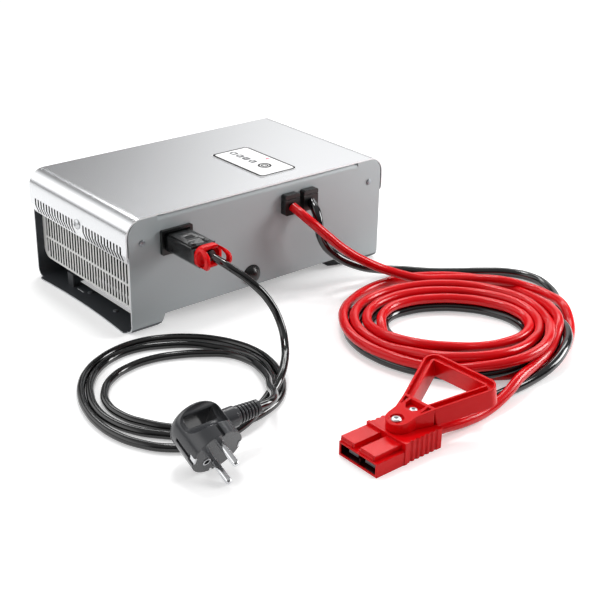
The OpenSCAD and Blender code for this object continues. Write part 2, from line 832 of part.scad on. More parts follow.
module mains_plug() color("#4a4c50") plug_place() {
    difference() {
        union() {
            // round body, its back rounded over to the pull bar
            rotate_extrude($fn = 72) {
                square([plug_d / 2, plug_depth - plug_round]);
                square([plug_d / 2 - plug_round, plug_depth]);
                translate([plug_d / 2 - plug_round, plug_depth - plug_round]) intersection() {
                    circle(plug_round);
                    square(plug_round);
                }
            }
            // cord sleeve
            translate([0, 0, plug_relief_t]) rotate([0, 90, 0]) cylinder(d = 15, h = 27);
            translate([27, 0, plug_relief_t]) rotate([0, 90, 0]) cylinder(d1 = 13.5, d2 = 11, h = plug_relief_x1 - 27);
        }
        // guide grooves at both ends of the pin line
        for (s = [-1, 1]) translate([-1.3, s * (plug_d / 2 - 1.1) - 1.2, -1]) cube([2.6, 2.4, 15]);
        // long side grooves with the seats of the earth clips
        for (s = [-1, 1]) {
            translate([s * (plug_d / 2 - 1) - 1.5, -3, -1]) cube([3, 6, 6]);
            translate([s * (plug_d / 2 - 0.7) - 1, -1.5, -1]) cube([2, 3, 21]);
        }
        // hole for an earth pin
        translate([-6.6, 6.4, -1]) cylinder(d = 4.2, h = 13);
        // finger hollows on both sides of the pull bar, open through the middle
        for (s = [-1, 1]) translate([-1.5, s * 19.5, 19.5]) rotate([0, 90, 0])
            cylinder(r = 10, h = 29, center = true);
        translate([-13, -12, 18]) cube([23, 24, 8.5]);
        // grooves of the sleeve
        for (i = [0 : 5]) translate([29.5 + i * 2.7, 0, plug_relief_t]) rotate([0, 90, 0]) difference() {
            cylinder(d = 16, h = 1.2);
            translate([0, 0, -1]) cylinder(d = 9, h = 4);
        }
        for (s = [-1, 1]) translate([0, s * pin_spacing / 2, -1]) cylinder(d = pin_d, h = 9);
    }
}

module plug_pins() color("#d7d8da") plug_place() {
    for (s = [-1, 1]) translate([0, s * pin_spacing / 2, -pin_len]) {
        cylinder(d1 = 3.4, d2 = pin_d, h = 1.4);
        translate([0, 0, 1.4]) cylinder(d = pin_d, h = pin_len + 6.6);
    }
}

module plug_earth_clips() color("#d0d1d3") plug_place() {
    for (s = [-1, 1])
        translate([s * (plug_d / 2 - 1.7) - 0.7, -2.9, -0.4]) cube([1.4, 5.8, 5.2]);
    // ring of the earth pin hole
    translate([-6.6, 6.4, -0.5]) difference() {
        cylinder(d = 6, h = 0.5);
        translate([0, 0, -1]) cylinder(d = 4.2, h = 3);
    }
}

module dc_connector() color("#d92a2c") {
    y0 = dc_y - dc_w / 2;
    y1 = dc_y + dc_w / 2;
    difference() {
        union() {
            box(dc_x0, dc_collar_x + 1, y0, y1, 0, skirt_h);
            box(dc_x0 + 1, dc_collar_x + 1, y0 + 4.7, y0 + 18.7, skirt_h - 1, block_top);
            box(dc_x0 + 1, dc_collar_x + 1, y0 + 25.2, y1 - 0.5, skirt_h - 1, block_top);
            box(dc_collar_x, dc_collar_x + 2.6, y0 - 0.5, y1 + 0.5, 0, dc_h + 0.4);
            box(dc_collar_x, dc_x1, y0 + 0.2, y1 - 0.2, 0, dc_h);
        }
        // wide flat mouth
        box(dc_x0 - 1, dc_collar_x - 3, y0 + 1.6, y1 - 1.6, 1.6, skirt_h - 0.8);
        for (s = [-1, 1]) {
            // slot of each contact blade
            box(dc_collar_x - 4, barrel_x + 2, dc_y + s * 8 - 4.6, dc_y + s * 8 + 4.6, 3.2, 5.2);
            // cable bores
            translate([barrel_x, dc_y + s * 8, dc_h / 2]) rotate([0, 90, 0]) cylinder(d = 9, h = 60);
        }
        // finger ribs of both sides
        for (s = [-1, 1], i = [0 : 5])
            translate([dc_collar_x + 6.5 + i * 4.6, dc_y + s * (dc_w / 2 + 0.4), -1]) cylinder(r = 1.5, h = dc_h + 2);
        // screw holes
        translate([handle_screw_x[0], dc_y, 3]) rotate([0, 0, handle_turn])
            for (x = handle_screw_x) translate([x - handle_screw_x[0], 0, 0]) cylinder(d = 3.6, h = 20);
    }
}

module dc_contacts() color("#c9cbd0")
    for (s = [-1, 1]) {
        box(dc_x0 + 4, barrel_x + 2, dc_y + s * 8 - 4.6, dc_y + s * 8 + 4.6, 3.2, 5.2);
        translate([barrel_x, dc_y + s * 8, dc_h / 2]) rotate([0, 90, 0]) cylinder(d = 9, h = 7.2);
    }

// Handle plan: a foot round the first screw, a neck, and a loop with round corners
neck_half = 14.2;
loop_slope = 23.5;
loop_corner = [40.5, 23.1];
loop_r = 8;
loop_wall = 7.4;
rim_w = 1.5;
handle_h = 14.5;
module loop_outline(inset, x0) {
    r = loop_r - inset;
    w = neck_half - inset / cos(loop_slope) + x0 * tan(loop_slope);
    tip = loop_corner + r * [-sin(loop_slope), cos(loop_slope)];
    far = loop_corner[0] + r;
    polygon([[x0, -w], [x0, w], tip, loop_corner, [far, loop_corner[1]], [far, -loop_corner[1]],
        [loop_corner[0], -loop_corner[1]], [tip[0], -tip[1]]]);
    for (s = [-1, 1]) translate([loop_corner[0], s * loop_corner[1]]) circle(r, $fn = 32);
}

module foot_outline() {
    translate([-18.8, 0]) circle(9.5);
    polygon([[-18.8, -9.5], [-18.8, 9.5], [-13, 9.5], [0.1, neck_half], [0.1, -neck_half], [-13, -9.5]]);
}

// Lays a shape over into the slope of the handle's top, its origin at the neck
module handle_slope() {
    translate([handle_neck_x, 0, neck_top_z]) rotate([0, -handle_tilt, 0]) children();
}

module dc_handle() color("#d81f26")
    translate([handle_screw_x[0], dc_y, 0]) rotate([0, 0, handle_turn]) translate([-handle_screw_x[0], 0, 0])
    difference() {
        union() {
            handle_slope() translate([0, 0, -handle_h]) linear_extrude(handle_h) loop_outline(0, 0);
            intersection() {
                translate([handle_neck_x, 0, handle_foot_z]) linear_extrude(20) foot_outline();
                handle_slope() translate([-50, -30, -40]) cube([60, 60, 40]);
            }
        }
        handle_slope() {
            // opening of the loop
            translate([0, 0, -handle_h - 10]) linear_extrude(handle_h + 20) loop_outline(loop_wall, 1.5);
            // channel between the rims
            translate([0, 0, -3]) linear_extrude(6) difference() {
                loop_outline(rim_w, 1.5);
                loop_outline(loop_wall - rim_w, 0);
            }
            // small recesses between the outer walls and the ribs of the neck
            for (s = [-1, 1]) translate([0, 0, -4]) linear_extrude(8)
                polygon([[-0.5, s * 8.9], [-0.5, s * 12.4], [-8.5, s * 9.3], [-8.5, s * 8.9]]);
        }
        // pocket of the second screw
        translate([handle_neck_x, 0, handle_foot_z + 3]) linear_extrude(20)
            polygon([[-10, -3], [-6, -6.8], [-0.8, -6.8], [-0.8, 6.8], [-6, 6.8], [-10, 3]]);
        // flat seat of the first screw
        translate([handle_screw_x[0], 0, handle_top_z - 0.6]) cylinder(d = 10.5, h = 10);
        for (x = handle_screw_x) translate([x, 0, 10]) cylinder(d = 4, h = 30);
        // clear of the connector
        box(-100, 0, -40, 40, 0, handle_foot_z);
    }

module handle_screws() color("#dfe0e2")
    translate([handle_screw_x[0], dc_y, 0]) rotate([0, 0, handle_turn])
    for (x = handle_screw_x) translate([x - handle_screw_x[0], 0, 0]) {
        z = x < -70 ? handle_top_z - 0.6 : handle_foot_z + 3;
        translate([0, 0, 3]) cylinder(d = 3.6, h = z - 3);
        translate([0, 0, z]) difference() {
            cylinder(d = 7, h = 2);
            translate([0, 0, 1]) cylinder(d = 3, h = 2, $fn = 6);
        }
    }

chassis();
chassis_rivets();
inner_tray();
left_grille();
right_grille();
top_cover();
cover_screws();
control_panel();
display_board();
mains_inlet();
inlet_pins();
positive_outlet();
negative_outlet();
stopper();
main_board();
board_standoffs();
transformer_core();
transformer_winding();
output_choke();
heat_sink();
power_devices();
bus_capacitors();
fan_frame();
fan_rotor();
fan_screws();
mains_connector();
release_collar();
mains_lead();
mains_coil();
mains_tail();
mains_plug();
plug_pins();
plug_earth_clips();
red_lead();
black_lead();
red_coil();
black_coil();
red_tail();
black_tail();
dc_connector();
dc_contacts();
dc_handle();
handle_screws();
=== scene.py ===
import math
import bmesh
import bpy
from mathutils import Matrix, Vector


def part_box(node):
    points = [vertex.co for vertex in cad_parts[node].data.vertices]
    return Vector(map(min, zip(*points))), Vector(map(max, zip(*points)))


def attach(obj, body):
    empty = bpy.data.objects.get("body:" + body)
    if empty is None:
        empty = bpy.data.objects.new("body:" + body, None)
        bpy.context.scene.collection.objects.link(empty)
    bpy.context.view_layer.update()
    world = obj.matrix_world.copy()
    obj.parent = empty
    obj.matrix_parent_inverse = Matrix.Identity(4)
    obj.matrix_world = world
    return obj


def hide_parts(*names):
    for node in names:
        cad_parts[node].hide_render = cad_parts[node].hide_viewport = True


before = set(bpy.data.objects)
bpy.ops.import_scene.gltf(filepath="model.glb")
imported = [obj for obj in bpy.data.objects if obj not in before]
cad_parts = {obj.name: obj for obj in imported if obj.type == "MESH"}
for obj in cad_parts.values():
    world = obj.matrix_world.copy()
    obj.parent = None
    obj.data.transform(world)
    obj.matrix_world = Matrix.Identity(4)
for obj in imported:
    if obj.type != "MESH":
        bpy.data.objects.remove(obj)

scene = bpy.context.scene
mm = 0.001
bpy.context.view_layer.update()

# camera: three-quarter view from the left front, a little above the cover
# its place and clipping are in metres, its angles in degrees, its lens and sensor in mm
shot = {"place": (-0.5818, -0.8106, 0.4363), "turn": -40.201, "height": 25.192, "roll": 1.076,
        "lens": 72.12, "sensor": 36, "near": 0.05, "far": 30}

turn, rise, roll = (math.radians(shot[k]) for k in ("turn", "height", "roll"))
back = Vector((math.sin(turn) * math.cos(rise), -math.cos(turn) * math.cos(rise), math.sin(rise)))
side = Vector((-back.y, back.x, 0)).normalized()
upward = back.cross(side)
camX = side * math.cos(roll) + upward * math.sin(roll)
camY = upward * math.cos(roll) - side * math.sin(roll)
camData = bpy.data.cameras.new("shot_camera")
camData.lens = shot["lens"]
camData.sensor_width = shot["sensor"]
camData.clip_start = shot["near"]
camData.clip_end = shot["far"]
camera = bpy.data.objects.new("shot_camera", camData)
scene.collection.objects.link(camera)
camera.matrix_world = Matrix.Translation(shot["place"]) @ Matrix((camX, camY, back)).transposed().to_4x4()
scene.camera = camera
print("camera set")


# node helpers
def linearColor(hexa):
    # sRGB hex to the linear values that sockets take
    out = []
    for i in (1, 3, 5):
        c = int(hexa[i:i + 2], 16) / 255
        out.append(c / 12.92 if c <= 0.04045 else ((c + 0.055) / 1.055) ** 2.4)
    return (*out, 1.0)


def addNode(tree, kind, feeds=None, **settings):
    # an input takes a link from another socket, or a plain value
    node = tree.nodes.new(kind)
    for key, value in settings.items():
        setattr(node, key, value)
    for key, value in (feeds or {}).items():
        if isinstance(value, bpy.types.NodeSocket):
            tree.links.new(value, node.inputs[key])
        else:
            node.inputs[key].default_value = value
    return node


def maths(tree, operation, first, second=0.0):
    return addNode(tree, "ShaderNodeMath", {0: first, 1: second}, operation=operation).outputs[0]


def product(tree, first, *others):
    for other in others:
        first = maths(tree, "MULTIPLY", first, other)
    return first


def mixColors(tree, factor, first, second):
    # colour version of the mix node: factor 0, colours 6 and 7, result 2
    return addNode(tree, "ShaderNodeMix", {0: factor, 6: first, 7: second}, data_type="RGBA").outputs[2]


def noise(tree, where, sizeMm, detail):
    feeds = {"Vector": where, "Scale": 1 / (sizeMm * mm), "Detail": detail}
    return addNode(tree, "ShaderNodeTexNoise", feeds).outputs["Fac"]


def axes(tree, vector):
    return addNode(tree, "ShaderNodeSeparateXYZ", {"Vector": vector}).outputs


def normalAxes(tree):
    return axes(tree, addNode(tree, "ShaderNodeTexCoord").outputs["Normal"])


def inBox(tree, at, limits):
    # 1 between the limits, in metres along each axis that they name, and 0 elsewhere
    tests = []
    for axis, (low, high) in limits.items():
        tests.append(maths(tree, "GREATER_THAN", at[axis], low))
        tests.append(maths(tree, "LESS_THAN", at[axis], high))
    return product(tree, *tests)


def startMaterial(name):
    mat = bpy.data.materials.new(name)
    mat.use_nodes = True
    tree = mat.node_tree
    tree.nodes.clear()
    out = addNode(tree, "ShaderNodeOutputMaterial")
    bsdf = addNode(tree, "ShaderNodeBsdfPrincipled")
    tree.links.new(bsdf.outputs["BSDF"], out.inputs["Surface"])
    coords = addNode(tree, "ShaderNodeTexCoord")
    return mat, tree, bsdf, coords.outputs["Object"]


# what a look has when it doesn't say otherwise: cloud as a share of the colour, sizes and depths in mm
usualLook = {"cloud": 0.1, "cloudMm": 35, "drift": 0.04, "grainMm": 0.5, "grainDepth": 0.01, "metal": 0.0,
             "edge": 0.0, "leastRough": 0.02}


def surface(name, ownLook):
    # colour with a faint cloud in it, roughness that drifts, fine grain in the normal, softened edges
    look = dict(usualLook, **ownLook)
    mat, tree, bsdf, where = startMaterial(name)
    cloud = noise(tree, where, look["cloudMm"], detail=4.0)
    grain = noise(tree, where, look["grainMm"], detail=3.0)
    base = linearColor(look["color"])
    deep = tuple(c * (1 - look["cloud"]) for c in base[:3]) + (1.0,)
    color = mixColors(tree, cloud, deep, base)
    rough = addNode(tree, "ShaderNodeMapRange", {
        "Value": grain, "To Min": max(look["leastRough"], look["rough"] - look["drift"]),
        "To Max": look["rough"] + look["drift"]})
    tree.links.new(rough.outputs["Result"], bsdf.inputs["Roughness"])
    tree.links.new(color, bsdf.inputs["Base Color"])
    bsdf.inputs["Metallic"].default_value = look["metal"]
    if "ior" in look:
        bsdf.inputs["IOR"].default_value = look["ior"]
    bump = addNode(tree, "ShaderNodeBump", {
        "Height": grain, "Strength": 1.0, "Distance": look["grainDepth"] * mm})
    if look["edge"]:
        soft = addNode(tree, "ShaderNodeBevel", {"Radius": look["edge"] * mm}, samples=4)
        tree.links.new(soft.outputs["Normal"], bump.inputs["Normal"])
    tree.links.new(bump.outputs["Normal"], bsdf.inputs["Normal"])
    return mat, tree, bsdf, where, color


def finish(name, look):
    return surface(name, look)[0]


def dress(node, mat):
    # a CAD node takes its look from one material
    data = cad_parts[node].data
    data.materials.clear()
    data.materials.append(mat)


# mesh helpers take sizes and places in mm; past is how far a cutter reaches beyond the face that it cuts
past = 1


def meshObject(name, bm):
    bmesh.ops.recalc_face_normals(bm, faces=bm.faces)
    data = bpy.data.meshes.new(name)
    bm.to_mesh(data)
    bm.free()
    obj = bpy.data.objects.new(name, data)
    scene.collection.objects.link(obj)
    return obj


def toolPiece(bm):
    # a shape that only cuts or joins another, gone afterwards
    return meshObject("tool", bm)


def newPiece(name, bm, mat):
    obj = meshObject(name, bm)
    obj.data.materials.append(mat)
    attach(obj, "charger")
    return obj


def settleMods(obj):
    # turns modifiers into mesh, so that the piece is what is seen
    graph = bpy.context.evaluated_depsgraph_get()
    graph.update()
    data = bpy.data.meshes.new_from_object(obj.evaluated_get(graph))
    obj.modifiers.clear()
    obj.data = data


def combine(obj, operation, tools):
    for tool in tools:
        mod = obj.modifiers.new("combine", "BOOLEAN")
        mod.operation = operation
        mod.object = tool
        mod.solver = "EXACT"
    settleMods(obj)
    for tool in tools:
        bpy.data.objects.remove(tool)


def soften(obj, width, segments=3, leastDegrees=32):
    # rounds the edges between faces that meet at more than that angle
    mod = obj.modifiers.new("soft_edges", "BEVEL")
    mod.width = width * mm
    mod.segments = segments
    mod.limit_method = "ANGLE"
    mod.angle_limit = math.radians(leastDegrees)
    mod.harden_normals = True
    settleMods(obj)


def finished(obj, name, mat, body, replaced, softWidth=0.0):
    # the shaped block becomes a piece of the model: soft edges where asked for, one material
    obj.name = obj.data.name = name
    obj.data.materials.clear()
    obj.data.materials.append(mat)
    if softWidth:
        soften(obj, softWidth)
    for poly in obj.data.polygons:
        poly.use_smooth = softWidth > 0
    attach(obj, body)
    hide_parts(replaced)
    return obj


def twoRings(rings):
    # the corners of two rings that match one to one, and the pairs of corners that each side runs between
    bm = bmesh.new()
    first, last = ([bm.verts.new([c * mm for c in p]) for p in ring] for ring in rings)
    sides = [(i, (i + 1) % len(first)) for i in range(len(first))]
    return bm, first, last, sides


def prism(outline, z):
    # an outline in X and Y, pushed through from z[0] to z[1]
    bm, low, high, sides = twoRings([(u, v, end) for u, v in outline] for end in z)
    bm.faces.new(low[::-1])
    bm.faces.new(high)
    for i, j in sides:
        bm.faces.new((low[i], low[j], high[j], high[i]))
    return bm


def lyingPrism(rings):
    # the same kind of solid between two upright rings; its faces take their corners the other way round
    bm, near, far, sides = twoRings(rings)
    bm.faces.new(near)
    bm.faces.new(far[::-1])
    for i, j in sides:
        bm.faces.new((near[i], far[i], far[j], near[j]))
    return bm


def facingFront(outline, y):
    # an outline in X and Z, pushed through from y[0] to y[1]
    return lyingPrism([(u, end, v) for u, v in outline] for end in y)


def facingSide(outline, x):
    # an outline in Y and Z, pushed through from x[0] to x[1]
    return lyingPrism([(end, u, v) for u, v in outline] for end in x)


def block(x, y, z):
    return prism([(x[0], y[0]), (x[1], y[0]), (x[1], y[1]), (x[0], y[1])], z)


def oval(middle, halfWide, halfHigh, steps):
    angles = [2 * math.pi * i / steps for i in range(steps)]
    return [(middle[0] + halfWide * math.cos(a), middle[1] + halfHigh * math.sin(a)) for a in angles]


def roundedBox(middle, wide, high, corner, steps=6):
    # outline of a rectangle with round corners
    points = []
    for quarter, (sx, sy) in enumerate(((1, 1), (-1, 1), (-1, -1), (1, -1))):
        for i in range(steps + 1):
            a = math.radians(90 * quarter + 90 * i / steps)
            points.append((middle[0] + sx * (wide / 2 - corner) + corner * math.cos(a),
                           middle[1] + sy * (high / 2 - corner) + corner * math.sin(a)))
    return points


def ringMesh(outer, inner, z):
    # flat ring between two outlines with the same number of points
    bm = bmesh.new()
    rows = [[bm.verts.new((x * mm, y * mm, level * mm)) for x, y in outline]
            for outline, level in ((outer, z[0]), (outer, z[1]), (inner, z[1]), (inner, z[0]))]
    for a, b in zip(rows, rows[1:] + rows[:1]):
        for i in range(len(outer)):
            j = (i + 1) % len(outer)
            bm.faces.new((a[i], a[j], b[j], b[i]))
    return bm


def lathe(profile, steps=36):
    # (radius, height) pairs turned about Z
    bm = bmesh.new()
    rows = []
    for r, z in profile:
        ring = oval((0, 0), r, r, steps if r else 1)
        rows.append([bm.verts.new((x * mm, y * mm, z * mm)) for x, y in ring])
    for low, high in zip(rows, rows[1:]):
        for i in range(steps):
            j = (i + 1) % steps
            corners = (low[i % len(low)], low[j % len(low)], high[j % len(high)], high[i % len(high)])
            face = list(dict.fromkeys(corners))
            if len(face) > 2:
                bm.faces.new(face)
    return bm


def joined(meshes):
    bm = bmesh.new()
    for part in meshes:
        data = bpy.data.meshes.new("part")
        part.to_mesh(data)
        part.free()
        bm.from_mesh(data)
        bpy.data.meshes.remove(data)
    return bm


# finish of the pan; places are in metres, and steep is the share of a normal that points along one axis
panLook = {"color": "#A6ACAE", "rough": 0.5, "metal": 0.15, "grainMm": 0.35, "grainDepth": 0.006,
           "cloud": 0.05, "cloudMm": 60, "edge": 0.4,
           "inside": "#3B3E42", "insideBox": {"Y": (-0.0728, 0.0788), "Z": (0.0007, 0.0912)},
           "cutEdge": "#D3D5D7", "cutEdgePast": 0.1285, "steep": 0.9}


def panFinish(look):
    # powder-coated steel pan: silver-grey lacquer outside, dark inside, a pale line where the sheet is cut
    mat, tree, bsdf, where, color = surface("powder_coated_steel_pan", look)
    at = axes(tree, where)
    color = mixColors(tree, inBox(tree, at, look["insideBox"]), color, linearColor(look["inside"]))
    endways = maths(tree, "GREATER_THAN", maths(tree, "ABSOLUTE", normalAxes(tree)["X"]), look["steep"])
    atEnd = maths(tree, "GREATER_THAN", maths(tree, "ABSOLUTE", at["X"]), look["cutEdgePast"])
    color = mixColors(tree, product(tree, endways, atEnd), color, linearColor(look["cutEdge"]))
    tree.links.new(color, bsdf.inputs["Base Color"])
    return mat


# slots of the end sheets, in metres from the middle: half of their field, then where a rim with its painted
# highlight and an end start; wall is the colour of the painted shade in the slots
slots = {"halfField": 0.0715, "rimPast": 0.0725, "endPast": 0.12, "steep": 0.7, "wall": "#101113"}


def slotted(name, look):
    # sheet with punched slots: the slot walls are painted dark for the shadow they lie in, and the rim gets a
    # painted highlight, pale and not metal
    mat, tree, bsdf, where, color = surface(name, look)
    at = axes(tree, where)
    across, along = (maths(tree, "ABSOLUTE", at[axis]) for axis in ("Y", "X"))
    sideways = maths(tree, "GREATER_THAN", maths(tree, "ABSOLUTE", normalAxes(tree)["Y"]), slots["steep"])
    inField = maths(tree, "LESS_THAN", across, slots["halfField"])
    atEnd = maths(tree, "GREATER_THAN", along, slots["endPast"])
    walls = product(tree, sideways, inField, atEnd)
    # where the painted highlight goes: the rim faces past the slot field
    rimHighlight = product(tree, sideways, maths(tree, "GREATER_THAN", across, slots["rimPast"]))
    color = mixColors(tree, walls, color, linearColor(slots["wall"]))
    color = mixColors(tree, rimHighlight, color, linearColor(look.get("rimHighlight", look["color"])))
    tree.links.new(color, bsdf.inputs["Base Color"])
    plain = maths(tree, "SUBTRACT", 1.0, maths(tree, "MAXIMUM", rimHighlight, walls))
    tree.links.new(product(tree, plain, look["metal"]), bsdf.inputs["Metallic"])
    return mat


# finishes of the housing
dress("chassis", panFinish(panLook))
# lacquered anthracite tray: the dark step under the grille
dress("inner_tray", finish("anthracite_lacquered_steel", {
    "color": "#3D3F42", "rough": 0.5, "metal": 0.2, "grainMm": 0.4, "grainDepth": 0.006, "edge": 0.3}))
# white lacquered grille sheet: the brightest thing in the dark recess
grilleWhite = slotted("white_lacquered_perforated_steel", {
    "color": "#E4E4E2", "rough": 0.4, "metal": 0.0, "grainMm": 0.4, "grainDepth": 0.006, "cloud": 0.06,
    "edge": 0.2})
for part in ("left_grille", "right_grille"):
    dress(part, grilleWhite)
# satin silver cover sheet: soft sheen that goes from grey to near white, and a pale painted highlight along
# its front edge
dress("top_cover", slotted("satin_silver_lacquered_aluminium", {
    "color": "#DDDEE0", "rimHighlight": "#F0F1F2", "rough": 0.23, "metal": 0.9, "grainMm": 0.3, "grainDepth": 0.0008,
    "cloud": 0.04, "cloudMm": 80}))
# bright zinc on the screws: small hard lights
zinc = finish("bright_zinc_plated_steel", {
    "color": "#C9CBCD", "rough": 0.28, "metal": 1.0, "grainMm": 0.4, "grainDepth": 0.006, "edge": 0.2})
for part in ("cover_screws", "board_standoffs", "fan_screws"):
    dress(part, zinc)
# aluminium rivets: greyer and duller than the screws
dress("chassis_rivets", finish("aluminium_blind_rivet", {
    "color": "#8C8F93", "rough": 0.42, "metal": 0.8, "grainMm": 0.3, "grainDepth": 0.005, "edge": 0.3}))
# polyester film of the panel: white with a broad weak light
dress("control_panel", finish("matt_polyester_film", {
    "color": "#F2F2F2", "rough": 0.38, "ior": 1.3, "grainMm": 0.25, "grainDepth": 0.004, "cloud": 0.03,
    "edge": 0.2}))
# moulded black fittings: satin, a little uneven in the grain
moulded = finish("black_moulded_nylon", {
    "color": "#0F1011", "rough": 0.3, "grainMm": 0.5, "grainDepth": 0.012, "cloud": 0.15, "edge": 0.5})
for part in ("mains_inlet", "positive_outlet", "negative_outlet", "fan_frame", "fan_rotor", "power_devices"):
    dress(part, moulded)
# smooth rubber stopper: black with one broad light on the dome
dress("stopper", finish("black_rubber_stopper", {
    "color": "#0A0A0B", "rough": 0.28, "grainMm": 0.8, "grainDepth": 0.01, "cloud": 0.2, "edge": 0.6}))
# black grip plastic: satin, a little smoother than the fittings
gripPlastic = finish("black_moulded_grip_plastic", {
    "color": "#0E0F10", "rough": 0.28, "grainMm": 0.35, "grainDepth": 0.02, "cloud": 0.2, "edge": 0.5})
# red glass-filled nylon: saturated, with pale lights on the soft edges
redLook = {"color": "#E0080F", "rough": 0.22, "ior": 1.25, "grainMm": 0.5, "grainDepth": 0.012, "cloud": 0.12,
           "edge": 0.7}
redNylon = finish("red_moulded_nylon", redLook)
dress("dc_handle", redNylon)
# moulded plug: dark grey, glossy enough for broad lights on the dome
dress("mains_plug", finish("dark_grey_moulded_pvc_plug", {
    "color": "#3E3F42", "rough": 0.2, "grainMm": 0.4, "grainDepth": 0.01, "cloud": 0.1, "edge": 0.8}))
# nickel-plated brass: chrome-like pins
nickel = finish("nickel_plated_brass", {
    "color": "#DADBDD", "rough": 0.14, "metal": 1.0, "grainMm": 0.5, "grainDepth": 0.004, "edge": 0.2})
for part in ("plug_pins", "plug_earth_clips"):
    dress(part, nickel)
# silver-plated blades: dull lights in the dark mouth
dress("dc_contacts", finish("silver_plated_copper", {
    "color": "#8C8D90", "rough": 0.35, "metal": 1.0, "grainMm": 0.6, "grainDepth": 0.01, "edge": 0.2}))
# tinned brass: pale yellow metal
dress("inlet_pins", finish("tinned_brass_blades", {
    "color": "#C8B98A", "rough": 0.3, "metal": 1.0, "grainMm": 0.6, "grainDepth": 0.01, "edge": 0.2}))
# circuit boards: green solder mask in uneven shades
board = finish("solder_masked_glass_epoxy", {
    "color": "#1F5B33", "rough": 0.3, "grainMm": 1.2, "grainDepth": 0.02, "cloud": 0.3, "cloudMm": 6})
for part in ("main_board", "display_board"):
    dress(part, board)
# ferrite core: dark grey and chalky
dress("transformer_core", finish("stacked_ferrite_core", {
    "color": "#3A3A3D", "rough": 0.6, "metal": 0.3, "grainMm": 0.8, "grainDepth": 0.03, "edge": 0.4}))
# winding tape: yellow film, a little creased
dress("transformer_winding", finish("yellow_polyester_winding_tape", {
    "color": "#C8A23C", "rough": 0.4, "grainMm": 1.5, "grainDepth": 0.03, "edge": 0.5}))
# enamelled wire: warm copper with a broken surface
dress("output_choke", finish("enamelled_copper_wire", {
    "color": "#B9702E", "rough": 0.3, "metal": 0.9, "grainMm": 1.2, "grainDepth": 0.15}))
# plain aluminium: pale grey metal
dress("heat_sink", finish("plain_aluminium_extrusion", {
    "color": "#A5A8AB", "rough": 0.4, "metal": 1.0, "grainMm": 0.5, "grainDepth": 0.02, "edge": 0.2}))
# shrink sleeve: dark blue and smooth
dress("bus_capacitors", finish("blue_shrink_sleeve", {
    "color": "#23303C", "rough": 0.3, "grainMm": 1.0, "grainDepth": 0.02, "edge": 0.5}))
print("finishes on the CAD parts")


# grip of the mains connector: its box, and what is cut from it, counted from its front end and its sides
gripSize = {
    "x": (-102.4, -79.8), "y": (-117.4, -82.5), "z": (65.2, 82.8), "cornerCut": 5.2,
    "sideStep": {"wide": 1.6, "deep": 1.0, "start": 3.5},
    "frontStep": {"long": 3.2, "deep": 1.6},
    "hollows": ({"inset": 5.5, "start": 6.5, "end": 17, "deep": 0.45},
                {"inset": 7.5, "start": 19, "end": 24, "deep": 0.35}),
    "nose": {"middle": (-89, 73.5), "wide": 23.4, "high": 15.4, "corner": 3, "y": (-82.6, -68)},
    "relief": {"middle": (-89, 75), "radius": 4.4, "front": -121.5},
    "latch": {"inset": 4.4, "sunk": 0.2, "halfWide": 2.4, "halfHigh": 1.5, "y": (-111.6, -106.8)},
    "soft": 0.45}


def mainsGrip(size):
    # moulded grip: flat sides, cut lower corners, a field and two latches raised on top, a nose in the inlet
    (left, right), (front, end), (low, high) = size["x"], size["y"], size["z"]
    cut = size["cornerCut"]
    grip = toolPiece(facingFront([(left, high), (left, low + cut), (left + cut, low), (right - cut, low),
                                  (right, low + cut), (right, high)], (front, end)))
    step = size["sideStep"]
    cutters = [block(x, (front + step["start"], end + past), (high - step["deep"], high + 2 * past))
               for x in ((left - past, left + step["wide"]), (right - step["wide"], right + past))]
    step = size["frontStep"]
    cutters.append(block((left - past, right + past), (front - past, front + step["long"]),
                         (high - step["deep"], high + 2 * past)))
    for hollow in size["hollows"]:
        x = (left + hollow["inset"], right - hollow["inset"])
        y = (front + hollow["start"], front + hollow["end"])
        cutters.append(block(x, y, (high - hollow["deep"], high + past)))
    combine(grip, "DIFFERENCE", [toolPiece(bm) for bm in cutters])
    nose, relief, latch = size["nose"], size["relief"], size["latch"]
    adds = [facingFront(roundedBox(nose["middle"], nose["wide"], nose["high"], nose["corner"]), nose["y"]),
            facingFront(oval(relief["middle"], relief["radius"], relief["radius"], steps=32),
                        (relief["front"], front + past))]
    for x in (left + latch["inset"], right - latch["inset"]):
        outline = oval((x, high - latch["sunk"]), latch["halfWide"], latch["halfHigh"], steps=20)
        adds.append(facingFront(outline, latch["y"]))
    combine(grip, "UNION", [toolPiece(bm) for bm in adds])
    return finished(grip, "connector_grip", gripPlastic, "charger", "mains_connector",
                    size["soft"])


# release collar: an oval sleeve at the cord end of the grip; lengths are counted forward from its back face
collarSize = {
    "middle": (-91.2, 75.4), "wide": 22.8, "high": 18.0, "corner": 7.2, "back": -118.3, "long": 17.9,
    "roundLong": 17.6, "roundHigh": 10.4, "wall": 2.6, "innerCorner": 5.0, "floor": 1.8,
    "hole": {"start": 4.2, "long": 9.2, "high": 6.3},
    "bore": {"middle": (-89, 75), "radius": 4.9, "deep": 6.7},
    "cheek": 3.6, "bridge": 5.3, "cutter": {"halfX": 20, "y": -140, "z": (60, 90)},
    "rib": {"proud": 0.28, "sunk": 0.6, "y": (3.4, 0.8), "half": 0.35, "z": (71.6, 73.6, 75.6, 77.6, 79.6)},
    "soft": 0.55}


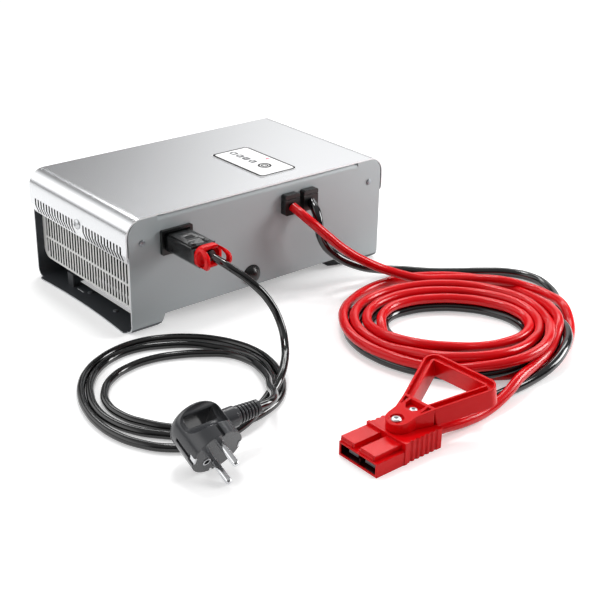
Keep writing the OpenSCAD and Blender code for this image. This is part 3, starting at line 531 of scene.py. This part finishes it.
def releaseCollar(size):
    # its two sides reach forward as finger hoops, each with a D-shaped hole
    middle, wide, high, back = size["middle"], size["wide"], size["high"], size["back"]
    left, right = middle[0] - wide / 2, middle[0] + wide / 2
    cutter = size["cutter"]
    through = (middle[0] - cutter["halfX"], middle[0] + cutter["halfX"])
    front = back - size["long"]
    sleeve = toolPiece(facingFront(roundedBox(middle, wide, high, size["corner"]), (front, back)))
    rounding = facingSide(oval((back, middle[1]), size["roundLong"], size["roundHigh"], steps=56), through)
    combine(sleeve, "INTERSECT", [toolPiece(rounding)])
    thin = 2 * size["wall"]
    hole, bore, rib = size["hole"], size["bore"], size["rib"]
    holeOval = oval((0, middle[1]), hole["long"], hole["high"], steps=48)
    dShape = [(back - hole["start"] - max(0, y), z) for y, z in holeOval]
    boreCircle = oval(bore["middle"], bore["radius"], bore["radius"], steps=32)
    cutters = [
        facingFront(roundedBox(middle, wide - thin, high - thin, size["innerCorner"]),
                    (cutter["y"], back - size["floor"])),
        facingSide(dShape, through),
        facingFront(boreCircle, (back - bore["deep"], back + past)),
        block((left + size["cheek"], right - size["cheek"]), (cutter["y"], back - size["bridge"]),
              cutter["z"])]
    combine(sleeve, "DIFFERENCE", [toolPiece(bm) for bm in cutters])
    ribs = [block((left - rib["proud"], left + rib["sunk"]), [back - y for y in rib["y"]],
                  (z - rib["half"], z + rib["half"])) for z in rib["z"]]
    combine(sleeve, "UNION", [toolPiece(bm) for bm in ribs])
    return finished(sleeve, "collar_with_hoops", redNylon, "release_collar_body",
                    "release_collar", size["soft"])


# shell of the battery connector; insideBox is its mouth, where shade is painted in deep dark red, in metres
shellSize = {
    "x": (-118, -92), "y": (-342, -305), "top": 10.6, "wall": 1.5, "roof": 1.3, "mouthEnd": -96,
    "blockX": (-116.6, -92), "blocksY": ((-338.4, -324.4), (-318.6, -305.3)), "blockZ": (9.6, 14.4),
    "rib": {"x": (-116, -95), "y": (-324, -323), "z": (1, 5.2)}}
shellLook = dict(redLook, inside="#2A0304",
                 insideBox={"X": (-0.1172, -0.0945), "Y": (-0.3407, -0.3063), "Z": (0.0013, 0.0095)})


def shellFinish(look):
    # the same red nylon, with painted shade deep and dark inside the mouth
    mat, tree, bsdf, where, color = surface("red_moulded_nylon_shell_with_painted_shade", look)
    inside = inBox(tree, axes(tree, where), look["insideBox"])
    tree.links.new(mixColors(tree, inside, color, linearColor(look["inside"])), bsdf.inputs["Base Color"])
    return mat


def batteryConnector(size):
    # the CAD shell with a taller open mouth, two closed blocks low on top and a rib between the poles
    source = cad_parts["dc_connector"]
    shell = bpy.data.objects.new("tool", source.data.copy())
    scene.collection.objects.link(shell)
    shell.matrix_world = source.matrix_world.copy()
    front, y, top, wall, rib = size["x"][0], size["y"], size["top"], size["wall"], size["rib"]
    adds = [block(size["x"], y, (0, top))]
    adds += [block(size["blockX"], blockY, size["blockZ"]) for blockY in size["blocksY"]]
    combine(shell, "UNION", [toolPiece(bm) for bm in adds])
    mouth = block((front - past, size["mouthEnd"]), (y[0] + wall, y[1] - wall), (wall, top - size["roof"]))
    combine(shell, "DIFFERENCE", [toolPiece(mouth)])
    combine(shell, "UNION", [toolPiece(block(rib["x"], rib["y"], rib["z"]))])
    return finished(shell, "battery_connector_shell", shellFinish(shellLook), "charger",
                    "dc_connector")


# screws of the pull handle: the place of each head's underside, then its radius
# the profile is a share of that radius and a height; the pad carries the second screw
handleScrews = {
    "heads": (((-84, -323.5, 23.0), 3.6), ((-68.7, -324.0, 24.6), 3.1)),
    "profile": ((0, -9), (0.5, -9), (0.5, 0), (1, 0), (1, 0.9), (0.82, 1.5), (0.42, 1.7), (0.4, 0.5),
                (0, 0.5)),
    "pad": ((-72.4, -326), (-68.2, -329.9), (-62.6, -329.7), (-63, -315.6), (-68.2, -315.7), (-72.4, -320)),
    "padZ": (18.9, 24.6)}


def screwHead(place, radius, profile):
    bm = lathe([(share * radius, z) for share, z in profile])
    bmesh.ops.translate(bm, verts=bm.verts, vec=Vector(place) * mm)
    return bm


mainsGrip(gripSize)
releaseCollar(collarSize)
connectorShell = batteryConnector(shellSize)
padSolid = prism(handleScrews["pad"], handleScrews["padZ"])
screwPad = newPiece("handle_screw_pad", padSolid, redNylon)
headSolids = [screwHead(place, radius, handleScrews["profile"]) for place, radius in handleScrews["heads"]]
screwHeads = newPiece("handle_screw_heads", joined(headSolids), zinc)
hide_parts("handle_screws")
print("connectors and their screws")

# black sheets inside the slots of both ends and strips in the gap outside them: painted shade, so that the
# slots read black
# distances are counted from the grille's outer face, its sides, its bottom and its top
shadeSheetSize = {"thick": 1.0, "sheetIn": 1.6, "stripOut": 1.6, "sides": 3, "bottom": 9.5, "top": 4,
            "stripZ": (61.5, 78)}
# near-black matt sheet: painted shade behind the slots, takes nearly all light
shadeSheet = finish("black_sheet_of_painted_shade", {
    "color": "#0B0B0C", "rough": 0.95, "grainMm": 0.9, "grainDepth": 0.25, "cloud": 0.3})
for sideName, inward in (("left", 1), ("right", -1)):
    low, high = ([c / mm for c in corner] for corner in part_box(sideName + "_grille"))
    face = low[0] if inward > 0 else high[0]
    inside = face + inward * shadeSheetSize["sheetIn"]
    outside = face - inward * shadeSheetSize["stripOut"]
    spanY = (low[1] + shadeSheetSize["sides"], high[1] - shadeSheetSize["sides"])
    sheetZ = (low[2] + shadeSheetSize["bottom"], high[2] - shadeSheetSize["top"])
    for kind, x, z in (("_painted_shade_sheet", inside, sheetZ), ("_painted_shade_strip", outside, shadeSheetSize["stripZ"])):
        spanX = sorted((x, x + inward * shadeSheetSize["thick"]))
        newPiece(sideName + kind, block(spanX, spanY, z), shadeSheet)
print("foam behind the slots")

# printed panel: a dark outline that is painted shade where the film sits in its recess, then the cell signs,
# fault sign and the push button, in mm above the film
panelSize = {
    "outline": {"inset": 0.1, "corner": 4.6, "z": (-0.02, 0.08)},
    "field": {"across": 4.0, "along": 3.4, "corner": 3.2, "shift": (0.4, 0.1)},
    "outlineSteps": 8, "ink": 0.05,
    "cell": {"x": 30.6, "ys": (8.8, -0.4, -9.2, -18.6), "side": 6.4, "line": 1.2, "corner": 1.2,
             "innerCorner": 0.5, "steps": 4, "post": 2.0, "postHigh": 0.9, "bars": (1, 2, 3, 2),
             "barInset": 1.3, "bar": 0.8, "barStep": 1.4},
    "fault": ((43.2, -21.6), (47.8, -21.6), (45.5, -17.4)),
    "button": {"middle": (32.1, -33.4), "rings": ((6.0, 4.3, 0.12), (3.3, 2.2, 0.06)), "dot": 0.55,
               "dotX": (-1.8, 0, 1.8), "dotY": (-1.1, 1.1)}}
# screen inks: flat and matt, in dark grey, mid grey and light red; the dark grey also paints the shade round
# the film
inkLook = {"color": "#161617", "rough": 0.5, "ior": 1.2, "cloud": 0.1, "grainDepth": 0.002}
ink = finish("dark_grey_screen_ink_and_painted_shade", inkLook)
greyInk = finish("mid_grey_screen_ink", dict(inkLook, color="#5E5F62"))
redInk = finish("light_red_screen_ink", {"color": "#E5798A", "rough": 0.4, "cloud": 0.1, "grainDepth": 0.002})

filmLow, filmHigh = ([c / mm for c in corner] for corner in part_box("control_panel"))
filmTop = filmHigh[2]
inkZ = (filmTop, filmTop + panelSize["ink"])


def panelShadeOutline(size):
    # black border of painted shade round the film in its recess, wider at one end than at the other
    edge, field, steps = size["outline"], size["field"], size["outlineSteps"]
    across, along = filmHigh[0] - filmLow[0], filmHigh[1] - filmLow[1]
    middle = [(first + last) / 2 for first, last in zip(filmLow, filmHigh)][:2]
    outer = roundedBox(middle, across - 2 * edge["inset"], along - 2 * edge["inset"], edge["corner"], steps)
    shifted = [c + shift for c, shift in zip(middle, field["shift"])]
    inner = roundedBox(shifted, across - field["across"], along - field["along"], field["corner"], steps)
    return ringMesh(outer, inner, [filmTop + z for z in edge["z"]])


def cellSign(size, y, bars):
    # a cell with a short post, filled by a number of bars
    x, side, inset = size["x"], size["side"], size["barInset"]
    hollow = side - 2 * size["line"]
    top, bottom = y + side / 2, y - side / 2
    marks = [ringMesh(roundedBox((x, y), side, side, size["corner"], size["steps"]),
                      roundedBox((x, y), hollow, hollow, size["innerCorner"], size["steps"]), inkZ),
             block((x - size["post"] / 2, x + size["post"] / 2), (top, top + size["postHigh"]), inkZ)]
    for k in range(bars):
        start = bottom + inset + k * size["barStep"]
        marks.append(block((x - side / 2 + inset, x + side / 2 - inset), (start, start + size["bar"]), inkZ))
    return marks


def buttonPrint(size):
    # two rings with six dots in the middle
    middle = size["middle"]
    marks = []
    for outer, inner, thick in size["rings"]:
        outerCircle, innerCircle = (oval(middle, radius, radius, steps=40) for radius in (outer, inner))
        marks.append(ringMesh(outerCircle, innerCircle, (filmTop, filmTop + thick)))
    for dx in size["dotX"]:
        for dy in size["dotY"]:
            dot = oval((middle[0] + dx, middle[1] + dy), size["dot"], size["dot"], steps=12)
            marks.append(prism(dot, inkZ))
    return marks


cell = panelSize["cell"]
cellSigns = [mark for y, bars in zip(cell["ys"], cell["bars"]) for mark in cellSign(cell, y, bars)]
# the outline is painted shade; the signs and the button are print
newPiece("panel_painted_shade_outline", panelShadeOutline(panelSize), ink)
newPiece("panel_signs", joined(cellSigns), greyInk)
newPiece("panel_fault_sign", prism(panelSize["fault"], inkZ), redInk)
newPiece("panel_button", joined(buttonPrint(panelSize["button"])), ink)
print("panel printed")

# routes in mm, from the gland round the coil to the far end, with the turns as they settle on the floor
mainsRoute = [
    (-89, -125, 75), (-85, -140.7, 70.7), (-74.9, -153.9, 59.9), (-65.2, -163.2, 45.2),
    (-61.5, -172.6, 28.6), (-69, -187.2, 18), (-81.6, -202.1, 14.4), (-96.7, -215.4, 11.6),
    (-112.7, -225, 7.9), (-129.9, -235.4, 9.2), (-149, -242.6, 5.7), (-169.4, -243.9, 3.1),
    (-189.8, -241.4, 3.1), (-206.5, -231.2, 3.1), (-218, -215.3, 3.1), (-224.6, -196.8, 3.1),
    (-226, -177, 3.1), (-223.2, -157.3, 3.1), (-216.8, -138.2, 3.1), (-206.6, -120.6, 3.1),
    (-192.6, -105.9, 3.1), (-175.6, -95.6, 3.1), (-156.7, -89.8, 3.1), (-137.1, -89.5, 3.1),
    (-118.4, -95.6, 3.1), (-101.8, -106.4, 3.1), (-88.3, -120.9, 3.1), (-78.9, -138.2, 3.1),
    (-74.3, -157.4, 3.1), (-75.6, -177.1, 3.1), (-81.8, -195.9, 3.1), (-92, -212.9, 3.1),
    (-106.3, -226.4, 3.1), (-124.3, -234, 3.1), (-143.9, -236.6, 3.1), (-163.5, -235.9, 3.1),
    (-184.1, -228.8, 3.1), (-200.1, -214.7, 3.1), (-211.6, -198.5, 3.1), (-217.7, -178.4, 3.1),
    (-216.6, -157.3, 3.1), (-209.7, -138.1, 3.1), (-199.3, -121.5, 3.1), (-183.2, -107, 3.1),
    (-164.3, -98.7, 3.1), (-144.4, -98.1, 3.1), (-124.9, -105.5, 3.1), (-106.8, -117.8, 3.1),
    (-94.8, -133.4, 3.1), (-84.9, -150.8, 3.1), (-81.2, -170.3, 3.1), (-86, -189.5, 3.1),
    (-96.1, -206.3, 3.1), (-111.1, -218.9, 3.1), (-130.8, -228.2, 3.1), (-152.6, -230.4, 3.1),
    (-173.7, -224.8, 3.1), (-188.9, -212.6, 3.1), (-200, -196.2, 3.1), (-207.3, -178, 3.1),
    (-206.8, -156.2, 3.1), (-197.9, -139, 3.1), (-183.2, -126.1, 3.1), (-164.8, -119.7, 3.1),
    (-145.1, -119.4, 3.1), (-126.3, -125.3, 3.1), (-109.1, -135.1, 3.1), (-93, -149.5, 3.1),
    (-87.5, -167.3, 3.2), (-91.2, -186.2, 5.1), (-99.7, -205.4, 8.6), (-111.6, -222.7, 13.8),
    (-122.3, -240.9, 19.2), (-136.4, -254.2, 24.2), (-150, -257.3, 26.2)]
redRoute = [
    (26.1, -79.5, 76), (28, -95.2, 70.2), (42.1, -105.4, 54.4), (58.5, -112.4, 38.5), (77.7, -120.9, 24.8),
    (98.3, -130.7, 14.1), (116.1, -147.9, 9.2), (135.8, -160.3, 8.2), (153, -176, 8.9),
    (165.8, -195.7, 10.8), (178.4, -217.2, 8.2), (177.5, -240, 9), (167.1, -262.8, 11.6),
    (153.7, -281.3, 5.6), (134.8, -295.6, 4), (114.1, -306.5, 4), (91.1, -312.5, 4), (67.5, -311.7, 4),
    (44.2, -301.3, 4), (27.1, -284.6, 4), (14.8, -264.1, 4), (11.1, -240.3, 4), (14.3, -216.5, 4.6),
    (24.6, -194.5, 10.5), (43, -180.6, 12.2), (67.8, -178.9, 12.2), (89.6, -187.5, 12.2),
    (108, -202.3, 12.2), (121.2, -221.8, 12.2), (126.7, -244.3, 12.1), (119.6, -265.3, 12.1),
    (101.6, -278.2, 12.1), (78.2, -279.3, 12.2), (53.8, -273.3, 13.4), (31.7, -266.4, 17.6),
    (12.8, -251.7, 19.9), (5.2, -228.3, 18.3), (8.4, -204, 14.7), (19.6, -182.7, 12.1), (39.1, -168.8, 12),
    (62.2, -165.2, 12.1), (86.1, -168.8, 11.8), (109.1, -177.9, 10.3), (126.8, -194, 9.9),
    (137, -215.8, 11), (138.6, -240.2, 11.9), (131.3, -262.6, 12.1), (115, -281, 12.5),
    (93.8, -292.3, 14.9), (70.2, -298.7, 17.1), (47, -298.2, 19.6), (25.5, -288, 19.8), (9.9, -270.7, 18.6),
    (1.4, -247, 15.6), (-1.1, -223.8, 12.4), (1.1, -199, 11.9), (11.1, -177.3, 11.7), (29.3, -160.9, 11.3),
    (52.7, -151.7, 10.2), (77, -150.6, 9.8), (99.9, -156.5, 9.9), (120.4, -168.4, 10),
    (136.6, -185.5, 10.3), (147.4, -206.6, 10.4), (151, -230.4, 10.7), (144.3, -255.3, 11.9),
    (130.4, -276.7, 14.5), (112.7, -292.9, 18.7), (93.4, -306.3, 19.8), (71.2, -312.8, 19.5),
    (46.6, -310.8, 18.7), (26, -297.6, 15.7), (10.4, -280.2, 12.4), (-1.4, -259.3, 11.5),
    (-9.2, -236.6, 11.6), (-11.1, -213, 11.5), (-5.9, -189.8, 11.6), (6.8, -168.4, 11.4), (25.2, -150.5, 9),
    (44.9, -137.6, 5.6), (67.4, -128.6, 4), (92, -126.4, 4), (115.7, -130.9, 4), (136.8, -142.2, 4),
    (154.9, -158.2, 4), (167.4, -178.8, 4), (171.7, -203.4, 4.1), (166.9, -225.7, 7.4), (158, -245.6, 11.9),
    (147.2, -264.5, 16.6), (132.8, -285.2, 17.1), (112.5, -298.5, 12.2), (89.3, -310, 11.8),
    (66.8, -316.7, 11.5), (43, -323.2, 12), (20.5, -329.3, 7.8), (-2.3, -332.2, 4.3), (-26.2, -333.6, 5.2),
    (-50, -332.2, 7.3), (-74, -331.5, 8), (-83, -331.5, 8)]
blackRoute = [
    (46.5, -79.5, 76), (43, -91.2, 69.6), (43.9, -97.8, 47.6), (58.8, -100.2, 29.5), (79.5, -106.6, 16.8),
    (100.9, -109.6, 8.9), (123.5, -117.8, 4.6), (140.4, -134.2, 4), (159, -149.1, 4), (178.6, -162.7, 4),
    (196.1, -178.5, 4), (204.4, -199.3, 4), (198.8, -221.6, 4), (185.6, -241.4, 4), (168.9, -258.5, 4),
    (150.3, -273.6, 4), (130.8, -287.4, 4), (110.3, -299.1, 4), (85.4, -304.8, 4), (61, -301.3, 4),
    (40.2, -287.3, 4), (25.1, -266.5, 4), (19.3, -241.6, 4), (22.8, -216.3, 4), (30.7, -192.4, 4),
    (46.7, -179.5, 4), (71.3, -179.2, 4), (92.7, -188.2, 4), (110.4, -203.5, 4), (122.4, -223.5, 4),
    (125.2, -248.9, 4), (114.8, -268.5, 4), (91.8, -278.8, 4), (68.2, -276.9, 4.1), (43.7, -269.9, 6.7),
    (21.3, -259, 11.6), (8.8, -239.2, 11.6), (7.4, -216.5, 8.6), (14.8, -193.4, 5), (31.4, -174.9, 4),
    (53.4, -167.2, 4), (76.6, -168.7, 4), (98.4, -177.3, 4), (117.1, -191.6, 4), (130.4, -210.8, 4),
    (136.6, -233.1, 4), (133.6, -255.8, 4), (120.5, -274.9, 4), (99.9, -288.5, 4.4), (76.1, -295.3, 7.5),
    (51.6, -296.3, 11.7), (29.4, -287.9, 12), (13.9, -270.9, 11.2), (4.4, -247.8, 7.8), (1.1, -225.1, 4.1),
    (2.7, -200.9, 4), (12.6, -179.8, 4), (30, -164.7, 4), (52.1, -157.1, 4), (75.5, -157.2, 4),
    (98.1, -164.2, 4), (118.1, -176.8, 4), (133.9, -194.4, 4), (143.6, -215.9, 4), (145.8, -239.2, 4),
    (139.7, -262.5, 4.1), (125.4, -281.1, 6), (104, -294.6, 8.9), (81.6, -304.2, 11.9),
    (58.7, -309.5, 11.9), (36, -302.7, 9.4), (19.2, -287.4, 5.8), (6.4, -267, 4.1), (-3.8, -245.4, 4),
    (-7.8, -221.9, 4), (-5.4, -198.4, 4), (4.4, -177.1, 4), (20.9, -160.6, 4), (41.6, -149.3, 4),
    (64.8, -144.5, 4), (88.5, -146.7, 4), (110.7, -155.3, 4), (129.9, -169.4, 4), (144.7, -188.1, 4),
    (153.8, -210.1, 4), (156, -234.4, 4.1), (150.7, -257.9, 6.7), (141.2, -280.6, 11.4),
    (126.7, -299.9, 12.2), (106.1, -313.2, 11.3), (82.7, -320.4, 7.4), (57.2, -321.8, 4.1),
    (33.4, -322.3, 4), (9.5, -322, 4), (-14.5, -320.7, 4.3), (-38, -317.8, 6.3), (-62, -315.5, 8),
    (-83, -315.5, 8)]

# cords: diameter and wave sizes in mm, length in metres, steps from point to point and round the tube
mainsLook = {"diameter": 6.2, "length": 1.49, "steps": 6, "roundSteps": 5, "color": "#060607",
             "rough": 0.12, "drift": 0.02, "grainMm": 0.7, "grainDepth": 0.012, "waveMm": 9,
             "waveDepth": 0.05, "cloud": 0.2, "cloudMm": 50, "specular": 0.65}
blackLook = dict(mainsLook, diameter=8, length=2.323, color="#070709")
redCableLook = dict(mainsLook, diameter=8, length=2.398, color="#DC0410", rough=0.2, waveMm=14, specular=0.28)


def sheath(name, look):
    # extruded soft plastic: glossy skin with fine grain and shallow waves
    mat, tree, bsdf, where, color = surface(name, look)
    haze = noise(tree, where, look["waveMm"], detail=2.0)
    wave = addNode(tree, "ShaderNodeBump", {
        "Height": haze, "Strength": 1.0, "Distance": look["waveDepth"] * mm})
    grain = bsdf.inputs["Normal"].links[0].from_node
    tree.links.new(wave.outputs["Normal"], grain.inputs["Normal"])
    bsdf.inputs["Specular IOR Level"].default_value = look["specular"]
    return mat


def freeCord(name, route, look, mat, solids):
    # one smooth tube along its route, which starts where it leaves its gland
    curve = bpy.data.curves.new(name, "CURVE")
    curve.dimensions = "3D"
    curve.resolution_u = look["steps"]
    curve.bevel_depth = look["diameter"] / 2 * mm
    curve.bevel_resolution = look["roundSteps"]
    curve.use_fill_caps = True
    line = curve.splines.new("BEZIER")
    line.bezier_points.add(len(route) - 1)
    for knot, point in zip(line.bezier_points, route):
        knot.co = [c * mm for c in point]
        knot.handle_left_type = knot.handle_right_type = "AUTO"
    cord = bpy.data.objects.new(name, curve)
    scene.collection.objects.link(cord)
    curve.materials.append(mat)
    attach(cord, "charger")
    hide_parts(*solids)


# glossy black PVC sheath of the mains cord and of the negative cable: thin white lights along the turns
mainsSheath = sheath("black_pvc_mains_sheath", mainsLook)
blackSheath = sheath("black_pvc_cable_sheath", blackLook)
# glossy red PVC insulation: strong lights with pink flanks, deep red between the turns
redSheath = sheath("red_pvc_cable_sheath", redCableLook)

freeCord("mains_cord", mainsRoute, mainsLook, mainsSheath,
         ["mains_lead", "mains_coil", "mains_tail"])
freeCord("red_cable", redRoute, redCableLook, redSheath,
         ["red_lead", "red_coil", "red_tail"])
freeCord("black_cable", blackRoute, blackLook, blackSheath,
         ["black_lead", "black_coil", "black_tail"])
print("cords laid")

# floor and light of a plain product studio, in metres
# a card is a direction, the two cosines between which it fades in, and its strength at both
studio = {
    "floorHalf": 9, "paper": ("#EFEFEF", "#F1F1F1"), "fibreMm": 1.5, "floorRough": 0.6, "floorSpecular": 0.2,
    "lift": 0.36,
    "climb": ((0, 0, 1), (0.3, 0.9), (0.12, 0.52)),
    "backCard": ((0.6455, 0.7638, 0), (0.78, 0.9), (0.0, 1.08)),
    "leftCard": ((-0.7638, 0.6455, 0), (0.45, 0.8), (0.0, 1.6)),
    "fadeLeft": ((0.7638, -0.6455, 0), (-0.22, 0.02), (0.02, 1.0)),
    "aboveFloor": ((0, 0, 1), (0.05, 0.25), (0.0, 1.0))}
# lamps: the place, what it points at, width and height, and the power in watts
softboxes = {
    "overhead_softbox": ((0.15, 0.25, 1.3), (0, -0.15, 0), (0.3, 0.25), 5.6),
    "back_strip": ((0.63, 0.54, 0.87), (0, -0.2, 0), (1.3, 0.2), 5.6),
    "right_fill": ((0.85, -0.6, 0.4), (0.1, -0.1, 0.05), (0.4, 0.45), 8.0)}


def paperFinish(look):
    # seamless white paper: takes soft shadows, and its open parts are lifted to white where they are seen
    mat, tree, bsdf, where = startMaterial("white_paper_sweep")
    shades = [linearColor(shade) for shade in look["paper"]]
    fibre = noise(tree, where, look["fibreMm"], detail=3.0)
    tree.links.new(mixColors(tree, fibre, *shades), bsdf.inputs["Base Color"])
    bsdf.inputs["Roughness"].default_value = look["floorRough"]
    bsdf.inputs["Specular IOR Level"].default_value = look["floorSpecular"]
    rays = addNode(tree, "ShaderNodeLightPath").outputs
    seen = maths(tree, "MAXIMUM", rays["Is Camera Ray"], rays["Is Glossy Ray"])
    seen = maths(tree, "MAXIMUM", seen, rays["Is Transmission Ray"])
    tree.links.new(product(tree, seen, look["lift"]), bsdf.inputs["Emission Strength"])
    bsdf.inputs["Emission Color"].default_value = (1, 1, 1, 1)
    return mat


def studioFloor(look):
    half = look["floorHalf"]
    data = bpy.data.meshes.new("studio_floor")
    corners = [(-half, -half, 0), (half, -half, 0), (half, half, 0), (-half, half, 0)]
    data.from_pydata(corners, [], [(0, 1, 2, 3)])
    data.materials.append(paperFinish(look))
    floor = bpy.data.objects.new("studio_floor", data)
    scene.collection.objects.link(floor)


def card(tree, heading, direction, cosines, strengths):
    aim = addNode(tree, "ShaderNodeVectorMath", {0: heading, 1: direction}, operation="DOT_PRODUCT")
    feeds = {"Value": aim.outputs["Value"], "From Min": cosines[0], "From Max": cosines[1],
             "To Min": strengths[0], "To Max": strengths[1]}
    return addNode(tree, "ShaderNodeMapRange", feeds, interpolation_type="SMOOTHSTEP").outputs["Result"]


def studioWorld(look):
    # dark horizon, lighter overhead, a white card behind the object and another at its left
    world = bpy.data.worlds.new("studio")
    scene.world = world
    world.use_nodes = True
    tree = world.node_tree
    tree.nodes.clear()
    heading = addNode(tree, "ShaderNodeTexCoord").outputs["Generated"]
    climb, backCard, leftCard, fadeLeft, aboveFloor = (card(tree, heading, *look[name]) for name in (
        "climb", "backCard", "leftCard", "fadeLeft", "aboveFloor"))
    behind = product(tree, backCard, fadeLeft, aboveFloor)
    strength = maths(tree, "ADD", maths(tree, "ADD", climb, behind), product(tree, leftCard, aboveFloor))
    # seen directly, the surroundings are white
    direct = addNode(tree, "ShaderNodeLightPath").outputs["Is Camera Ray"]
    shown = addNode(tree, "ShaderNodeMix", {0: direct, 2: strength, 3: 1.0}, data_type="FLOAT")
    sky = addNode(tree, "ShaderNodeBackground", {"Color": (1, 1, 1, 1), "Strength": shown.outputs[0]})
    out = addNode(tree, "ShaderNodeOutputWorld")
    tree.links.new(sky.outputs[0], out.inputs["Surface"])


def softbox(name, place, target, size, power):
    lamp = bpy.data.lights.new(name, "AREA")
    lamp.shape = "RECTANGLE"
    lamp.size, lamp.size_y = size
    lamp.energy = power
    obj = bpy.data.objects.new(name, lamp)
    scene.collection.objects.link(obj)
    obj.location = place
    obj.rotation_euler = (Vector(target) - Vector(place)).to_track_quat("-Z", "Y").to_euler()


studioFloor(studio)
studioWorld(studio)
for name, values in softboxes.items():
    softbox(name, *values)
scene.view_settings.view_transform = "Standard"

print("studio ready")
